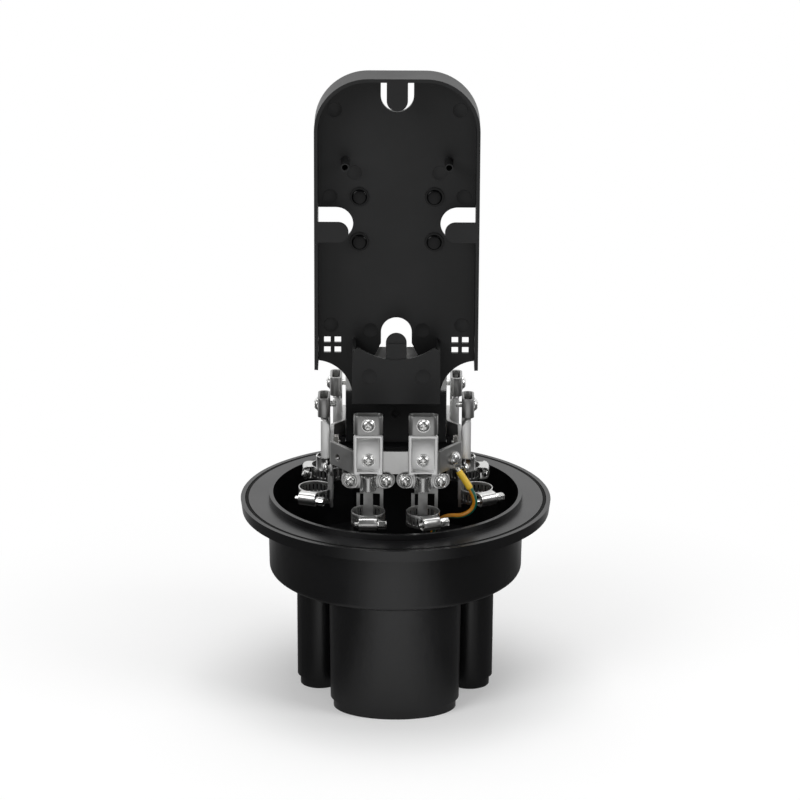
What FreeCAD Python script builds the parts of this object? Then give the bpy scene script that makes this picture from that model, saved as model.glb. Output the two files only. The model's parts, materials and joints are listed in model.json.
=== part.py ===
import FreeCAD, Part
import Sketcher
import math
import os

# Base of a dome splice closure, open, with its cable retention frame and tray carrier.
# Millimetres, +Z up, origin at the bottom centre on the cup's axis, -Y is the front.

V = FreeCAD.Vector
doc = FreeCAD.newDocument("splice_closure")

# Driving dimensions

SIZES = {
    "flange_radius": 103,
    "flange_top": 127,
    "flange_thick": 7.7,
    "flange_draft": 1,
    "rim_width": 2.9,
    "groove_width": 2.3,
    "groove_depth": 3,
    "lip_radius": 84.2,
    "lip_wall": 2.7,
    "lip_rise": 4,
    "cup_radius": 84.8,
    "cup_draft": 0.8,
    "cup_bottom": 77,
    "floor_thick": 3.5,
    "cup_round": 4,
    "seal_clearance": 0.15,
    "port_wall": 3,
    "port_end_rise": 6.7,
    "port_end_step": 2,
    "oval_centre": 54,
    "oval_half_width": 43.2,
    "oval_half_depth": 28.5,
    "oval_draft": 0.8,
    "round_radius": 15.2,
    "round_draft": 0.3,
    "round_front_across": 50.3,
    "round_front_along": 15,
    "round_back_across": 46,
    "round_back_along": 28,
    "foot_half_width": 31,
    "foot_front": 10,
    "foot_back": 52,
    "foot_thick": 6,
    "foot_screw_across": 12,
    "foot_screw_inset": 5,
    "shaft_half_width": 28,
    "shaft_front": 2,
    "shaft_back": 42,
    "shaft_core_depth": 30,
    "shaft_wall": 4,
    "shaft_top": 178,
    "head_clearance": 0.6,
    "head_front": 3,
    "head_low": 148,
    "ledge_top": 166.5,
    "ledge_drop": 4.5,
    "ledge_depth": 4,
    "hoop_bottom": 160.5,
    "hoop_height": 15.5,
    "hoop_thick": 2.4,
    "hoop_front": 50,
    "hoop_front_half": 28,
    "hoop_corner_back": 30,
    "hoop_half_width": 43.2,
    "hoop_step_front": 5,
    "hoop_step_back": 14,
    "hoop_rear_half": 36,
    "hoop_back": 44,
    "hoop_bend": 3.5,
    "bracket_front": 12,
    "bracket_thick": 2,
    "bracket_top": 227.5,
    "bracket_bottom": 151,
    "bracket_flange_top": 190,
    "bracket_gap": 0.1,
    "carrier_thick": 3,
    "carrier_wall": 2.4,
    "carrier_depth": 24,
    "carrier_top": 414.6,
    "carrier_half_width": 53.5,
    "carrier_corner": 35,
    "scoop_radius": 25,
    "scoop_across": 54,
    "scoop_level": 194,
    "column_half_width": 33.2,
    "column_bottom": 161.8,
    "column_gap": 0.3,
    "shoulder_level": 196.7,
    "column_hole_radius": 2.7,
    "column_hole_level": 181.8,
    "top_slot_half": 10.7,
    "top_slot_end": 398.4,
    "side_slot_level": 312.6,
    "side_slot_half": 11.2,
    "side_slot_reach": 39.7,
    "low_slot_half": 10.1,
    "low_slot_top": 238.6,
    "low_slot_bottom": 219,
    "low_slot_flare": 6,
    "tab_thick": 2,
    "tab_half": 6.8,
    "tab_side_reach": 38,
    "top_tab_end": 400.2,
    "low_tab_end": 238.8,
    "low_tab_root": 212,
    "peg_across": 33.6,
    "peg_level": 355,
    "peg_radius": 2.8,
    "peg_bore": 1.9,
    "peg_length": 17,
    "vent_size": 4.3,
    "vent_across": 42,
    "vent_level": 229.7,
    "vent_pitch": 6.9,
    "pocket_half_width": 28.7,
    "pocket_front": 18,
    "pocket_bottom": 197.7,
    "pocket_ear_top": 236.2,
    "pocket_ear_half": 24.5,
    "pocket_ear_bevel": 3.3,
    "pocket_dip": 8.1,
    "pocket_wall": 2,
    "rivet_across": 24.4,
    "rivet_level": 315.8,
    "rivet_pitch": 30.5,
    "rivet_radius": 5,
    "rivet_ring": 6.1,
    "rivet_rise": 1.6,
    "rivet_shank": 2.6,
    "rivet_past": 2,
    "rivet_point": 1,
    "carrier_screw_across": 18,
    "carrier_screw_level": 213,
    "station_front_across": 17.8,
    "station_side_along": 14.5,
    "station_rear_along": 30,
    "holder_half_width": 9.8,
    "holder_top": 189,
    "holder_depth": 6,
    "holder_floor": 2,
    "holder_wall": 1.6,
    "holder_slope_level": 182.5,
    "holder_slope_reach": 4.4,
    "holder_notch": 6.2,
    "loop_half_width": 9.9,
    "loop_depth": 8.6,
    "loop_wall": 1.5,
    "loop_height": 15,
    "loop_round": 3.4,
    "screw_radius": 2.2,
    "screw_clearance": 0.1,
    "head_radius": 4.65,
    "head_height": 2.6,
    "head_flat": 0.62,
    "head_knee": 0.92,
    "head_knee_rise": 0.65,
    "head_side_rise": 0.3,
    "cross_width": 1.3,
    "cross_depth": 1.3,
    "holder_screw_level": 170.5,
    "screw_length": 8.6,
    "saddle_screw_tip": 0.3,
    "clamp_screw_level": 197,
    "clamp_screw_tip": 4,
    "saddle_level": 156.5,
    "saddle_screw_across": 11.65,
    "saddle_end_radius": 4.7,
    "saddle_thick": 2,
    "saddle_gap": 0.1,
    "bulge_half_width": 5.7,
    "bulge_depth": 7.4,
    "bulge_wall": 1.6,
    "bulge_bottom": 151,
    "plate_thick": 2,
    "plate_end_radius": 5.8,
    "plate_low": 147,
    "leg_inner": 7.6,
    "leg_width": 2.2,
    "leg_bottom": 127.5,
    "strap_half_width": 3.1,
    "strap_thick": 1.7,
    "strap_bottom": 128,
    "band_inner": 10.4,
    "band_thick": 0.7,
    "band_bottom": 130,
    "band_height": 9,
    "band_clearance": 0.02,
    "housing_half_length": 5.8,
    "housing_rise": 5.6,
    "housing_margin": 0.2,
    "worm_radius": 2.25,
    "worm_axis_rise": 2.85,
    "worm_clearance": 0.05,
    "worm_tip_radius": 1.5,
    "worm_tip": 2.2,
    "worm_head_flat": 6,
    "worm_head_length": 5.8,
    "worm_neck": 0.6,
    "nut_flat": 8,
    "nut_height": 3.2,
    "earth_level": 167,
    "earth_share": 0.66,
    "lug_thick": 1,
    "lug_radius": 4.6,
    "lug_tail_half": 1.7,
    "lug_barrel": 4.5,
    "lug_drop": 7.2,
    "lug_stand_off": 3.04,
    "lug_nip": 0.5,
    "wire_radius": 1.7,
    "wire_rise": 12,
    "sleeve_wall": 0.45,
    "sleeve_clearance": 0.05,
    "sleeve_start": 1,
    "sleeve_length": 15.5,
    "stud_across": 24,
    "stud_along": 17,
    "stud_radius": 3,
    "stud_lug_radius": 5.6,
    "stud_lug_reach": 7.5,
    "stud_collar": 4,
    "stud_nut_flat": 10,
    "stud_nut": 4,
    "stud_top": 92,
    "stud_below": 8,
}

sheet = doc.addObject("Spreadsheet::Sheet", "Sizes")
for row, (alias, number) in enumerate(SIZES.items(), 1):
    sheet.set(f"A{row}", alias)
    sheet.set(f"B{row}", str(number))
    sheet.setAlias(f"B{row}", alias)
doc.recompute()


# Ways of drawing that the pieces share

XY, XZ, YZ = "XY_Plane", "XZ_Plane", "YZ_Plane"
UP = V(0, 0, 1)


def bind(text):
    """An expression on the sheet's cells: every word in it but sqrt is an alias."""
    spaced = text.replace("(", " ( ").replace(")", " ) ")
    words = [f"Sizes.{w}" if w[0].isalpha() and w != "sqrt" else w for w in spaced.split()]
    return " ".join(words).replace("sqrt (", "sqrt(")


def value(text):
    return float(sheet.evalExpression(bind(text)))


def point(x, y, z="0"):
    return V(value(x), value(y), value(z))


def new_body(label):
    body = doc.addObject("PartDesign::Body", label)
    body.Label = label
    return body


def new_sketch(body, role, rise="0"):
    """On an origin plane, moved along its normal: up, to the front or to the right."""
    sketch = body.newObject("Sketcher::SketchObject", body.Name + "_sketch")
    plane = next(f for f in body.Origin.OriginFeatures if f.Role == role)
    sketch.AttachmentSupport = [(plane, "")]
    sketch.MapMode = "FlatFace"
    sketch.setExpression("AttachmentOffset.Base.z", bind(rise))
    return sketch


def fix(sketch, kind, geometry, end, text):
    if end is None:
        constraint = Sketcher.Constraint(kind, geometry, value(text))
    else:
        constraint = Sketcher.Constraint(kind, -1, 1, geometry, end, value(text))
    number = sketch.addConstraint(constraint)
    sketch.renameConstraint(number, f"{kind}_{number}")
    sketch.setExpression(f"Constraints.{kind}_{number}", bind(text))


def outline(sketch, corners):
    """A closed outline of straight lines through corners given as expressions."""
    first = sketch.GeometryCount
    count = len(corners)
    spots = [point(x, y) for x, y in corners]
    for start, end in zip(spots, spots[1:] + spots[:1]):
        sketch.addGeometry(Part.LineSegment(start, end))
    for step, (x, y) in enumerate(corners):
        following = first + (step + 1) % count
        sketch.addConstraint(Sketcher.Constraint("Coincident", first + step, 2, following, 1))
        fix(sketch, "DistanceX", first + step, 1, x)
        fix(sketch, "DistanceY", first + step, 1, y)


def rectangle(sketch, left, right, low, high):
    outline(sketch, [(left, low), (right, low), (right, high), (left, high)])


def circle(sketch, x, y, radius):
    number = sketch.addGeometry(Part.Circle(point(x, y), V(0, 0, 1), value(radius)))
    fix(sketch, "DistanceX", number, 3, x)
    fix(sketch, "DistanceY", number, 3, y)
    fix(sketch, "Radius", number, None, radius)


def shape_by(kind, body, sketch, length, side="One side", backward=False):
    feature = body.newObject("PartDesign::" + kind, body.Name + "_" + kind)
    feature.Profile = sketch
    feature.SideType = side
    feature.setExpression("Length", bind(length))
    feature.Reversed = backward
    sketch.Visibility = False
    doc.recompute()
    return feature


def pad(body, sketch, length, side="One side"):
    return shape_by("Pad", body, sketch, length, side)


def pocket(body, sketch, length, side="One side", backward=False):
    before = body.Shape.Volume
    feature = shape_by("Pocket", body, sketch, length, side, backward)
    if body.Shape.Volume > before - 0.01:
        raise ValueError(f"{feature.Name} cuts nothing")
    return feature


def revolve(body, sketch, axis="V_Axis"):
    feature = body.newObject("PartDesign::Revolution", body.Name + "_revolution")
    feature.Profile = sketch
    feature.ReferenceAxis = (sketch, [axis])
    feature.Angle = 360
    doc.recompute()
    return feature


def soften(body, radius, chosen, kind="Fillet"):
    """Rounds or bevels the edges of the body so far whose middle is chosen."""
    base = body.Tip
    edges = []
    for number, edge in enumerate(base.Shape.Edges, 1):
        middle = edge.valueAt((edge.FirstParameter + edge.LastParameter) / 2)
        if chosen(edge, middle):
            edges.append(f"Edge{number}")
    feature = body.newObject("PartDesign::" + kind, body.Name + "_" + kind)
    feature.Base = (base, edges)
    feature.setExpression("Radius" if kind == "Fillet" else "Size", bind(radius))
    doc.recompute()
    return feature


def along(edge, axis):
    """Whether a straight edge runs along an axis: 0, 1 or 2."""
    run = edge.lastVertex().Point - edge.firstVertex().Point
    return edge.Curve.TypeId == "Part::GeomLine" and abs(run[axis]) > 0.999 * run.Length


def put(thing, x="0", y="0", z="0"):
    for axis, text in zip("xyz", (x, y, z)):
        thing.setExpression("Placement.Base." + axis, bind(text))
    return thing


def cylinder(name, radius, height, x="0", y="0", z="0"):
    solid = doc.addObject("Part::Cylinder", name)
    solid.setExpression("Radius", bind(radius))
    solid.setExpression("Height", bind(height))
    return put(solid, x, y, z)


def box(name, left, right, front, back, low, high):
    solid = doc.addObject("Part::Box", name)
    solid.setExpression("Length", bind(f"({right}) - ({left})"))
    solid.setExpression("Width", bind(f"({back}) - ({front})"))
    solid.setExpression("Height", bind(f"({high}) - ({low})"))
    return put(solid, left, front, low)


def ellipse(name, half_width, half_depth, y, z):
    ring = doc.addObject("Part::Ellipse", name)
    ring.setExpression("MajorRadius", bind(half_width))
    ring.setExpression("MinorRadius", bind(half_depth))
    return put(ring, "0", y, z)


def loft(name, low, high):
    solid = doc.addObject("Part::Loft", name)
    solid.Sections = [low, high]
    solid.Solid = True
    solid.Ruled = True
    return solid


def joined(label, things):
    whole = doc.addObject("Part::MultiFuse", label)
    whole.Label = label
    whole.Shapes = things
    return whole


def carved(label, thing, tools):
    """The thing less the tools."""
    whole = doc.addObject("Part::Cut", label)
    whole.Label = label
    whole.Base = thing
    whole.Tool = tools[0] if len(tools) == 1 else joined(label + "_tools", tools)
    return whole


def placed(label, thing, places):
    """Copies of one piece: a link for each place, or one group of them."""
    links = []
    for number, place in enumerate(places, 1):
        link = doc.addObject("App::Link", f"{label}_{number}")
        link.LinkedObject = thing
        link.Placement = place
        links.append(link)
    group = doc.addObject("Part::Compound", label)
    group.Label = label
    group.Links = links
    return group


NODES = []


def keep(thing, label=None):
    if label:
        thing.Label = label
    NODES.append(thing)
    return thing


# The six stations: the frame of each is on the hoop's outer face, -Y outward

def station_place(x, y, angle):
    return FreeCAD.Placement(point(x, y), FreeCAD.Rotation(UP, angle))


STATIONS = {
    "front_left": (station_place("0 - station_front_across", "0 - hoop_front", 0), 0),
    "front_right": (station_place("station_front_across", "0 - hoop_front", 0), 22),
    "left": (station_place("0 - hoop_half_width", "0 - station_side_along", -90), 70),
    "right": (station_place("hoop_half_width", "0 - station_side_along", 90), -58),
    "rear_left": (station_place("0 - hoop_rear_half", "station_rear_along", -90), 0),
    "rear_right": (station_place("hoop_rear_half", "station_rear_along", 90), 0),
}


def moved(place, x="0", y="0", z="0"):
    return place * FreeCAD.Placement(point(x, y, z), FreeCAD.Rotation())


# Base: cup, flange with its seal groove and lip, one oval and four round ports

def foot_screw_spots():
    return [(x, y) for x in ("foot_screw_across", "0 - foot_screw_across")
            for y in ("foot_screw_inset - foot_front", "foot_back - foot_screw_inset")]


def make_base():
    cup = new_body("cup")
    under = "flange_top - flange_thick"
    floor = "cup_bottom + floor_thick"
    groove = "flange_top - groove_depth"
    rim = "flange_radius - rim_width"
    inside = "lip_radius - lip_wall"
    profile = new_sketch(cup, XZ)
    outline(profile, [
        ("0", "cup_bottom"),
        ("cup_radius - cup_draft", "cup_bottom"),
        ("cup_radius", under),
        ("flange_radius - flange_draft", under),
        ("flange_radius", "flange_top"),
        (rim, "flange_top"),
        (rim, groove),
        (f"{rim} - groove_width", groove),
        (f"{rim} - groove_width", "flange_top"),
        ("lip_radius", "flange_top"),
        ("lip_radius", "flange_top + lip_rise"),
        (inside, "flange_top + lip_rise"),
        (inside, floor),
        ("0", floor)])
    revolve(cup, profile)
    bottom = value("cup_bottom")
    soften(cup, "cup_round", lambda edge, middle: abs(middle.z - bottom) < 0.01 and
           edge.Curve.TypeId == "Part::GeomCircle")

    root = "cup_bottom + 1"
    mouth = f"{floor} + 1"
    narrow = "oval_half_width - oval_draft"
    shallow = "oval_half_depth - oval_draft"
    y = "0 - oval_centre"
    tube = loft("oval_tube", ellipse("oval_low", narrow, shallow, y, "port_end_rise"),
                ellipse("oval_high", "oval_half_width", "oval_half_depth", y, root))
    end_across = f"{narrow} - port_end_step"
    end_along = f"{shallow} - port_end_step"
    end = loft("oval_end", ellipse("oval_end_low", end_across, end_along, y, "0"),
               ellipse("oval_end_high", end_across, end_along, y, "port_end_rise + 1"))
    bore_low = ellipse("oval_bore_low", f"{narrow} - port_wall", f"{shallow} - port_wall", y, "port_wall")
    bore_high = ellipse("oval_bore_high", "oval_half_width - port_wall", "oval_half_depth - port_wall", y,
                        mouth)
    bore = loft("oval_bore", bore_low, bore_high)
    solids = [cup, tube, end]
    bores = [bore]
    for side in ("", "0 - "):
        for row, (across, ahead) in enumerate((("round_front_across", "0 - round_front_along"),
                                               ("round_back_across", "round_back_along"))):
            x = side + across
            cone = doc.addObject("Part::Cone", "round_tube")
            cone.setExpression("Radius1", bind("round_radius - round_draft"))
            cone.setExpression("Radius2", bind("round_radius"))
            cone.setExpression("Height", bind(f"{root} - port_end_rise"))
            put(cone, x, ahead, "port_end_rise")
            ring = cylinder("round_end", "round_radius - round_draft - port_end_step", "port_end_rise + 1",
                            x, ahead)
            hollow = cylinder("round_bore", "round_radius - round_draft - port_wall", f"{mouth} - port_wall",
                              x, ahead, "port_wall")
            solids += [cone, ring]
            bores.append(hollow)
    for x, y in foot_screw_spots():
        bores.append(cylinder("foot_hole", "screw_radius + screw_clearance", "floor_thick", x, y,
                              f"{floor} + foot_thick - screw_length - screw_clearance"))
    bores.append(cylinder("stud_hole", "stud_radius + screw_clearance", "3 * floor_thick", "stud_across",
                          "0 - stud_along", "cup_bottom - floor_thick"))
    return keep(carved("base_body", joined("base_solid", solids), bores))


def make_seal():
    outer = "flange_radius - rim_width - seal_clearance"
    inner = "flange_radius - rim_width - groove_width + seal_clearance"
    low = "flange_top - groove_depth"
    height = "groove_depth - seal_clearance"
    ring = cylinder("seal_outer", outer, height, z=low)
    hole = cylinder("seal_inner", inner, f"{height} + 2", z=f"{low} - 1")
    return keep(carved("flange_seal", ring, [hole]))


# Post: moulded, stands on the cup's floor inside the hoop and carries the bracket

def make_post():
    post = new_body("support_post")
    floor = "cup_bottom + floor_thick"
    foot = new_sketch(post, XY, floor)
    rectangle(foot, "0 - foot_half_width", "foot_half_width", "0 - foot_front", "foot_back")
    pad(post, foot, "foot_thick")
    soften(post, "foot_thick", lambda edge, middle: along(edge, 2))
    shaft = new_sketch(post, XY, f"{floor} + foot_thick")
    rectangle(shaft, "0 - shaft_half_width", "shaft_half_width", "shaft_front", "shaft_back")
    pad(post, shaft, f"bracket_bottom - ({floor} + foot_thick) - bracket_gap")
    grip = "hoop_rear_half - hoop_thick - bracket_gap - bracket_thick - bracket_gap"
    neck = new_sketch(post, XY, "bracket_bottom - bracket_gap")
    rectangle(neck, f"0 - ({grip})", grip, "bracket_front + bracket_thick + bracket_gap", "shaft_back")
    pad(post, neck, "shaft_top - bracket_bottom + bracket_gap")

    wide = "hoop_half_width - hoop_thick - head_clearance"
    slim = "hoop_rear_half - hoop_thick"
    head = new_sketch(post, XY, "head_low")
    outline(head, [
        (f"0 - ({wide})", "0 - head_front"),
        (wide, "0 - head_front"),
        (wide, "hoop_step_front - 2 * head_clearance"),
        (slim, "bracket_front - head_clearance"),
        (f"0 - ({slim})", "bracket_front - head_clearance"),
        (f"0 - ({wide})", "hoop_step_front - 2 * head_clearance")])
    pad(post, head, "ledge_top - head_low")
    for step in (1, 2):
        ledge = new_sketch(post, XY, "ledge_top + 1")
        rectangle(ledge, f"0 - ({wide}) - 1", f"{wide} + 1", "0 - head_front - 1",
                  f"ledge_depth * {3 - step} - head_front")
        pocket(post, ledge, f"ledge_drop * {step} + 1")
    seat = new_sketch(post, XY, "shaft_top + 1")
    rectangle(seat, "0 - column_half_width - head_clearance", "column_half_width + head_clearance",
              "0 - head_front - 1", "bracket_front")
    pocket(post, seat, "shaft_top + 1 - column_bottom + column_gap")

    core = new_sketch(post, XZ, "0 - shaft_back")
    for left, right in (("shaft_wall / 2", "shaft_half_width - shaft_wall"),
                        ("shaft_wall - shaft_half_width", "0 - shaft_wall / 2")):
        rectangle(core, left, right, f"{floor} + foot_thick + shaft_wall", "bracket_bottom + shaft_wall")
    pocket(post, core, "shaft_core_depth", backward=True)
    bolts = new_sketch(post, XY, f"{floor} + foot_thick")
    for x, y in foot_screw_spots():
        circle(bolts, x, y, "screw_radius + screw_clearance")
    pocket(post, bolts, "foot_thick")
    side_holes = new_sketch(post, YZ)
    circle(side_holes, "station_rear_along", "holder_screw_level", "screw_radius + screw_clearance")
    pocket(post, side_holes, f"2 * ({grip} + 1)", side="Symmetric")
    return keep(post)


# Hoop: a flat band bent round the cup's axis, both ends held on the bracket

def earth_spot(side):
    share = "earth_share"
    x = f"hoop_front_half + ( hoop_half_width - hoop_front_half ) * {share}"
    y = f"( hoop_front - hoop_corner_back ) * {share} - hoop_front"
    run = point("hoop_half_width - hoop_front_half", "hoop_front - hoop_corner_back")
    angle = side * math.degrees(math.atan2(run.y, run.x))
    return FreeCAD.Placement(V(side * value(x), value(y), value("earth_level")), FreeCAD.Rotation(UP, angle))


def make_hoop():
    hoop = new_body("hoop_strip")
    plan = new_sketch(hoop, XY, "hoop_bottom")
    half = [("hoop_front_half", "0 - hoop_front"), ("hoop_half_width", "0 - hoop_corner_back"),
            ("hoop_half_width", "hoop_step_front"), ("hoop_rear_half", "hoop_step_back"),
            ("hoop_rear_half", "hoop_back")]
    outline(plan, half + [(f"0 - {x}", y) for x, y in reversed(half)])
    pad(hoop, plan, "hoop_height")
    back = value("hoop_back")
    soften(hoop, "hoop_bend", lambda edge, middle: along(edge, 2) and middle.y < back - 1)
    bent = hoop.Tip
    open_faces = []
    for number, face in enumerate(bent.Shape.Faces, 1):
        normal = face.normalAt(0, 0)
        if abs(normal.z) > 0.9 or (normal.y > 0.9 and abs(face.CenterOfMass.y - back) < 0.1):
            open_faces.append(f"Face{number}")
    wall = hoop.newObject("PartDesign::Thickness", "hoop_wall")
    wall.Base = (bent, open_faces)
    wall.Reversed = True
    wall.Join = "Intersection"
    wall.setExpression("Value", bind("hoop_thick"))
    doc.recompute()
    front_holes = new_sketch(hoop, XZ, "hoop_front + 1")
    for x in ("station_front_across", "0 - station_front_across"):
        circle(front_holes, x, "holder_screw_level", "screw_radius + screw_clearance")
    pocket(hoop, front_holes, "hoop_thick + 2")
    side_holes = new_sketch(hoop, YZ)
    for y in ("0 - station_side_along", "station_rear_along"):
        circle(side_holes, y, "holder_screw_level", "screw_radius + screw_clearance")
    pocket(hoop, side_holes, "3 * hoop_half_width", side="Symmetric")
    drills = []
    for side in (1, -1):
        drill = doc.addObject("Part::Cylinder", "earth_hole")
        drill.setExpression("Radius", bind("screw_radius + screw_clearance"))
        drill.setExpression("Height", bind("4 * hoop_thick"))
        sunk = FreeCAD.Placement(V(0, -2 * value("hoop_thick"), 0), FreeCAD.Rotation(V(1, 0, 0), -90))
        drill.Placement = earth_spot(side) * sunk
        drills.append(drill)
    return keep(carved("hoop_band", hoop, drills))


# Bracket: an upright channel of sheet, web to the front, behind the column

def make_bracket():
    bracket = new_body("upright_bracket")
    half = "hoop_rear_half - hoop_thick - bracket_gap"
    inner = f"{half} - bracket_thick"
    rear = "bracket_front + bracket_thick"
    plan = new_sketch(bracket, XY, "bracket_bottom")
    outline(plan, [
        (f"0 - ({half})", "bracket_front"), (half, "bracket_front"), (half, "shaft_back"),
        (inner, "shaft_back"), (inner, rear), (f"0 - ({inner})", rear),
        (f"0 - ({inner})", "shaft_back"), (f"0 - ({half})", "shaft_back")])
    pad(bracket, plan, "bracket_flange_top - bracket_bottom")
    web = new_sketch(bracket, XZ, f"0 - ({rear})")
    rectangle(web, f"0 - ({half})", half, "bracket_flange_top - 1", "bracket_top")
    pad(bracket, web, "bracket_thick")
    holes = new_sketch(bracket, XZ, "0 - bracket_front + 1")
    circle(holes, "0", "column_hole_level", "column_hole_radius")
    for x in ("carrier_screw_across", "0 - carrier_screw_across"):
        circle(holes, x, "carrier_screw_level", "screw_radius + screw_clearance")
    pocket(bracket, holes, "bracket_thick + 2")
    side_holes = new_sketch(bracket, YZ)
    circle(side_holes, "station_rear_along", "holder_screw_level", "screw_radius + screw_clearance")
    pocket(bracket, side_holes, "3 * hoop_half_width", side="Symmetric")
    return keep(bracket)


# Tray carrier: one moulding, an open-fronted tray above a pocket and a column

def make_carrier():
    carrier = new_body("tray_carrier")
    half = "carrier_half_width"
    back = "0 - bracket_front"
    face = "carrier_thick - bracket_front"
    rim = "carrier_depth - bracket_front"
    shell = new_sketch(carrier, XZ, back)
    rectangle(shell, f"0 - {half}", half, "scoop_level", "carrier_top")
    pad(carrier, shell, "carrier_depth")
    hollow = new_sketch(carrier, XZ, rim)
    rectangle(hollow, f"carrier_wall - {half}", f"{half} - carrier_wall", "scoop_level - 1",
              "carrier_top - carrier_wall")
    pocket(carrier, hollow, "carrier_depth - carrier_thick")
    under = value("carrier_top - carrier_wall")
    soften(carrier, "carrier_corner - carrier_wall",
           lambda edge, middle: along(edge, 1) and abs(middle.z - under) < 0.01)
    top = value("carrier_top")
    soften(carrier, "carrier_corner", lambda edge, middle: along(edge, 1) and abs(middle.z - top) < 0.01)
    scoops = new_sketch(carrier, XZ, f"{rim} + 1")
    for x in ("scoop_across", "0 - scoop_across"):
        circle(scoops, x, "scoop_level", "scoop_radius")
    pocket(carrier, scoops, "carrier_depth + 2")

    column = new_sketch(carrier, XZ, back)
    rectangle(column, "0 - column_half_width", "column_half_width", "column_bottom", "shoulder_level")
    pad(carrier, column, "carrier_thick")

    box_sketch = new_sketch(carrier, XZ, back)
    rectangle(box_sketch, "0 - pocket_half_width", "pocket_half_width", "pocket_bottom", "pocket_ear_top")
    pad(carrier, box_sketch, "bracket_front + pocket_front")
    ear = value("pocket_ear_top")
    soften(carrier, "pocket_ear_bevel",
           lambda edge, middle: along(edge, 1) and abs(middle.z - ear) < 0.01, kind="Chamfer")
    well = new_sketch(carrier, XY, "pocket_ear_top + 1")
    rectangle(well, "pocket_wall - pocket_half_width", "pocket_half_width - pocket_wall",
              "pocket_wall - pocket_front", "bracket_front - carrier_thick")
    pocket(carrier, well, "pocket_ear_top + 1 - pocket_bottom - pocket_wall")
    dip = new_sketch(carrier, XZ, "pocket_front + 1")
    bend = "( pocket_ear_half * pocket_ear_half + pocket_dip * pocket_dip ) / ( 2 * pocket_dip )"
    circle(dip, "0", f"pocket_ear_top - pocket_dip + {bend}", bend)
    pocket(carrier, dip, "pocket_wall + 2")

    make_slots(carrier, face)
    make_tabs(carrier, rim, face)
    return keep(carrier)


def make_slots(carrier, face):
    """Windows that the tabs stand over, vents and screw holes, all through the floor."""
    slots = new_sketch(carrier, XZ, f"{face} + 1")
    rectangle(slots, "0 - top_slot_half", "top_slot_half", "top_slot_end", "carrier_top - carrier_wall")
    flare = "low_slot_half + low_slot_flare"
    outline(slots, [
        ("0 - low_slot_half", "low_slot_top"), ("0 - low_slot_half", "low_slot_bottom + 2 * low_slot_flare"),
        (f"0 - ({flare})", "low_slot_bottom"), (flare, "low_slot_bottom"),
        ("low_slot_half", "low_slot_bottom + 2 * low_slot_flare"), ("low_slot_half", "low_slot_top")])
    for near, far in (("side_slot_reach", "carrier_half_width - carrier_wall"),
                      ("carrier_wall - carrier_half_width", "0 - side_slot_reach")):
        rectangle(slots, near, far, "side_slot_level - side_slot_half", "side_slot_level + side_slot_half")
    pocket(carrier, slots, "carrier_thick + 1")
    ends = new_sketch(carrier, XZ, f"{face} + 1")
    circle(ends, "0", "top_slot_end", "top_slot_half")
    circle(ends, "0", "low_slot_top", "low_slot_half")
    for x in ("side_slot_reach", "0 - side_slot_reach"):
        circle(ends, x, "side_slot_level", "side_slot_half")
    pocket(carrier, ends, "carrier_thick + 1")

    holes = new_sketch(carrier, XZ, f"{face} + 1")
    circle(holes, "0", "column_hole_level", "column_hole_radius")
    for side in ("", "0 - "):
        for level in ("rivet_level", "rivet_level - rivet_pitch"):
            circle(holes, f"{side}rivet_across", f"{level} + rivet_pitch / 2", "rivet_shank + screw_clearance")
        circle(holes, f"{side}carrier_screw_across", "carrier_screw_level", "screw_radius + screw_clearance")
        for across in ("vent_across - vent_pitch / 2", "vent_across + vent_pitch / 2"):
            for level in ("vent_level - vent_pitch / 2", "vent_level + vent_pitch / 2"):
                edge = "vent_size / 2"
                middle = across if side == "" else f"0 - ({across})"
                rectangle(holes, f"{middle} - {edge}", f"{middle} + {edge}", f"{level} - {edge}",
                          f"{level} + {edge}")
    pocket(carrier, holes, "carrier_thick + 1")


def make_tabs(carrier, rim, face):
    """Retaining tabs flush with the rim, hollow pegs and the rivets' raised rings."""
    tabs = new_sketch(carrier, XZ, f"{rim} - tab_thick")
    rectangle(tabs, "0 - tab_half", "tab_half", "top_tab_end", "carrier_top - carrier_wall / 2")
    for near, far in (("tab_side_reach", "carrier_half_width - carrier_wall / 2"),
                      ("carrier_wall / 2 - carrier_half_width", "0 - tab_side_reach")):
        rectangle(tabs, near, far, "side_slot_level - tab_half", "side_slot_level + tab_half")
    pad(carrier, tabs, "tab_thick")
    tips = new_sketch(carrier, XZ, f"{rim} - tab_thick")
    circle(tips, "0", "top_tab_end", "tab_half")
    for x in ("tab_side_reach", "0 - tab_side_reach"):
        circle(tips, x, "side_slot_level", "tab_half")
    pad(carrier, tips, "tab_thick")
    low = new_sketch(carrier, XZ, "pocket_front - pocket_wall - tab_thick")
    rectangle(low, "0 - tab_half", "tab_half", "low_tab_root", "low_tab_end")
    pad(carrier, low, "tab_thick + pocket_wall / 2")
    low_tip = new_sketch(carrier, XZ, "pocket_front - pocket_wall - tab_thick")
    circle(low_tip, "0", "low_tab_end", "tab_half")
    pad(carrier, low_tip, "tab_thick")

    rings = new_sketch(carrier, XZ, face)
    for side in ("", "0 - "):
        for level in ("rivet_level", "rivet_level - rivet_pitch"):
            circle(rings, f"{side}rivet_across", f"{level} + rivet_pitch / 2", "rivet_ring")
            circle(rings, f"{side}rivet_across", f"{level} + rivet_pitch / 2", "rivet_shank + screw_clearance")
    pad(carrier, rings, "rivet_rise / 2")
    pegs = new_sketch(carrier, XZ, face)
    for x in ("peg_across", "0 - peg_across"):
        circle(pegs, x, "peg_level", "peg_radius")
        circle(pegs, x, "peg_level", "peg_bore")
    pad(carrier, pegs, "peg_length")


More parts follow.
